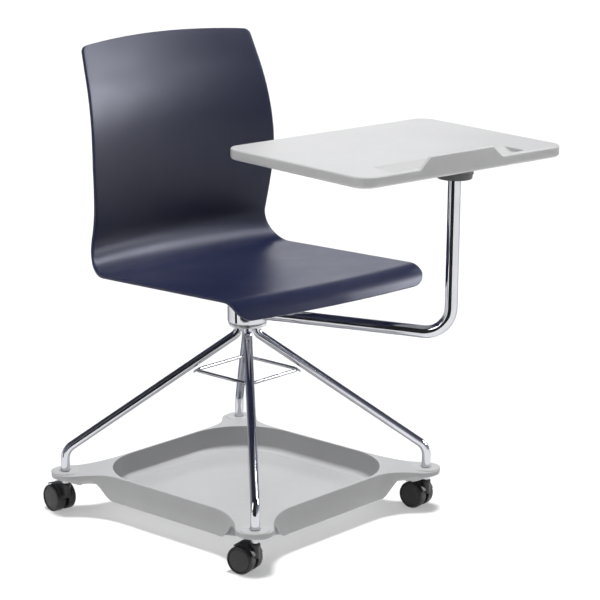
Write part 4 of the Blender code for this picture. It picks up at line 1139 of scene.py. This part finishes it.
def make_stage():
    bm = bmesh.new()
    bmesh.ops.create_circle(bm, cap_ends=True, segments=96, radius=FLOOR_RADIUS)
    floor = linked_object("studio_floor", finished_mesh("studio_floor", bm))
    look = Look("studio_paper", 0.9)
    look.set("Base Color", look.ramp(look.noise(3.0), ((0.3, 0.86), (0.7, 0.88))))
    floor.data.materials.append(look.material)
    floor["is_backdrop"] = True


def add_lamp(name, light, place, target, glossy):
    """Place a lamp facing a target, seen either by gloss alone or by matt surfaces alone."""
    lamp = linked_object(name, light)
    lamp.location = place
    lamp.rotation_euler = (Vector(target) - Vector(place)).to_track_quat("-Z", "Y").to_euler()
    lamp.visible_glossy = glossy
    lamp.visible_diffuse = not glossy
    return lamp


def soft_sky(name, place, spread, strength, shadow=True):
    """A wide, even light that falls from a direction, with or without shadows."""
    light = bpy.data.lights.new(name, "SUN")
    light.angle = math.radians(spread)
    light.energy = strength
    light.use_shadow = shadow
    return add_lamp(name, light, place, (0.0, 0.0, 0.0), glossy=False)


def softbox(name, place, target, size, energy):
    """A rectangular light that only gloss sees."""
    light = bpy.data.lights.new(name, "AREA")
    light.shape = "RECTANGLE"
    light.size, light.size_y = size
    light.energy = energy
    add_lamp(name, light, place, target, glossy=True)


def dark_card(name, azimuth, distance, size):
    """A black card that only gloss sees, as a studio stands beside chrome to draw its dark lines."""
    bm = bmesh.new()
    half, height = size[0] / 2.0, size[1]
    corners = ((-half, 0.0), (half, 0.0), (half, height), (-half, height))
    bm.faces.new([bm.verts.new((x, 0.0, z)) for x, z in corners])
    look = Look(name, 0.9)
    look.set("Base Color", look.ramp(look.noise(2.0), ((0.3, 0.010), (0.7, 0.016))))
    card = linked_object(name, finished_mesh(name, bm))
    card.data.materials.append(look.material)
    turn = math.radians(azimuth)
    card.location = HUB_XY + Vector((math.cos(turn), math.sin(turn), 0.0)) * distance
    card.rotation_euler = (0.0, 0.0, turn + math.radians(90.0))
    card.visible_camera = card.visible_diffuse = card.visible_shadow = card.visible_transmission = False
    card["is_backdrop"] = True


def make_lights():
    back_middle, bend = HUB_XY + Vector((0.0, 0.2, 0.70)), HUB_XY + Vector((0.0, 0.1, 0.47))
    soft_sky("ceiling", (0.0, 0.0, 3.0), 6.0, 1.35, shadow=False)
    ceiling = soft_sky("ceiling_wide", (0.0, 0.0, 3.0), 14.0, 2.55)
    low_parts = bpy.data.collections.new("low_parts")
    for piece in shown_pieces():
        if piece.name.startswith(("tray", "lobe", "twin", "hood")):
            low_parts.objects.link(piece)
    ceiling.light_linking.blocker_collection = low_parts
    softbox("key_right", (3.2, -1.75, 1.7), back_middle, (0.9, 1.1), 90.0)
    softbox("key_high", (1.9, -0.7, 2.5), bend, (1.5, 0.35), 46.0)
    soft_sky("side_left", (-3.0, 0.4, 0.9), 60.0, 0.55)
    softbox("strip_behind", (1.9, 2.4, 1.5), bend, (1.4, 0.6), 8.0)
    softbox("fill_left", (-3.2, 0.9, 1.6), back_middle, (0.9, 1.8), 18.0)
    dark_card("card_front", 218.0, 0.85, (1.05, 2.2))
    dark_card("card_side", 160.0, 0.80, (0.22, 2.2))

    world = bpy.data.worlds.new("studio")
    bpy.context.scene.world = world
    world.use_nodes = True
    nodes, links = world.node_tree.nodes, world.node_tree.links
    split = nodes.new("ShaderNodeSeparateXYZ")
    links.new(nodes.new("ShaderNodeTexCoord").outputs["Generated"], split.inputs["Vector"])
    ramp = nodes.new("ShaderNodeValToRGB")
    elements = ramp.color_ramp.elements
    elements[0].position, elements[0].color = 0.05, (0.42, 0.43, 0.50, 1.0)
    elements[1].position, elements[1].color = 0.70, (0.03, 0.03, 0.04, 1.0)
    elements.new(0.30).color = (0.22, 0.23, 0.28, 1.0)
    links.new(split.outputs["Z"], ramp.inputs["Fac"])
    links.new(ramp.outputs["Color"], nodes["Background"].inputs["Color"])
    world.cycles_visibility.diffuse = False


CAMERA_OFFSET = Vector((-2.7288, -3.2063, 1.469))
CAMERA_HEADING = math.radians(41.684)
CAMERA_PITCH = math.radians(14.271)
CAMERA_ROLL = math.radians(0.626)
CAMERA_LENS = 144.98


def make_camera():
    data = bpy.data.cameras.new("camera")
    data.lens = CAMERA_LENS
    data.sensor_width = 36.0
    camera = linked_object("camera", data)
    forward = Vector((math.sin(CAMERA_HEADING) * math.cos(CAMERA_PITCH),
                      math.cos(CAMERA_HEADING) * math.cos(CAMERA_PITCH), -math.sin(CAMERA_PITCH)))
    level_right = Vector((math.cos(CAMERA_HEADING), -math.sin(CAMERA_HEADING), 0.0))
    level_up = level_right.cross(forward)
    right = level_right * math.cos(CAMERA_ROLL) + level_up * math.sin(CAMERA_ROLL)
    up = level_up * math.cos(CAMERA_ROLL) - level_right * math.sin(CAMERA_ROLL)
    basis = Matrix((right, up, -forward)).transposed().to_4x4()
    camera.matrix_world = Matrix.Translation(HUB_XY + CAMERA_OFFSET) @ basis
    bpy.context.scene.camera = camera


make_camera()
make_shell()
make_legs()
make_brace()
make_weld_beads()
make_hub()
make_arm()
make_tablet()
make_socket()
make_tray()
for leg_name in LEG_NAMES:
    spot = caster_place(leg_name)
    make_wheels(leg_name, spot)
    make_hood(leg_name, spot)
    make_foot(leg_name)
finish_kept_nodes()
make_stage()
make_lights()
bpy.context.scene.view_settings.view_transform = "Standard"

bpy.context.view_layer.update()
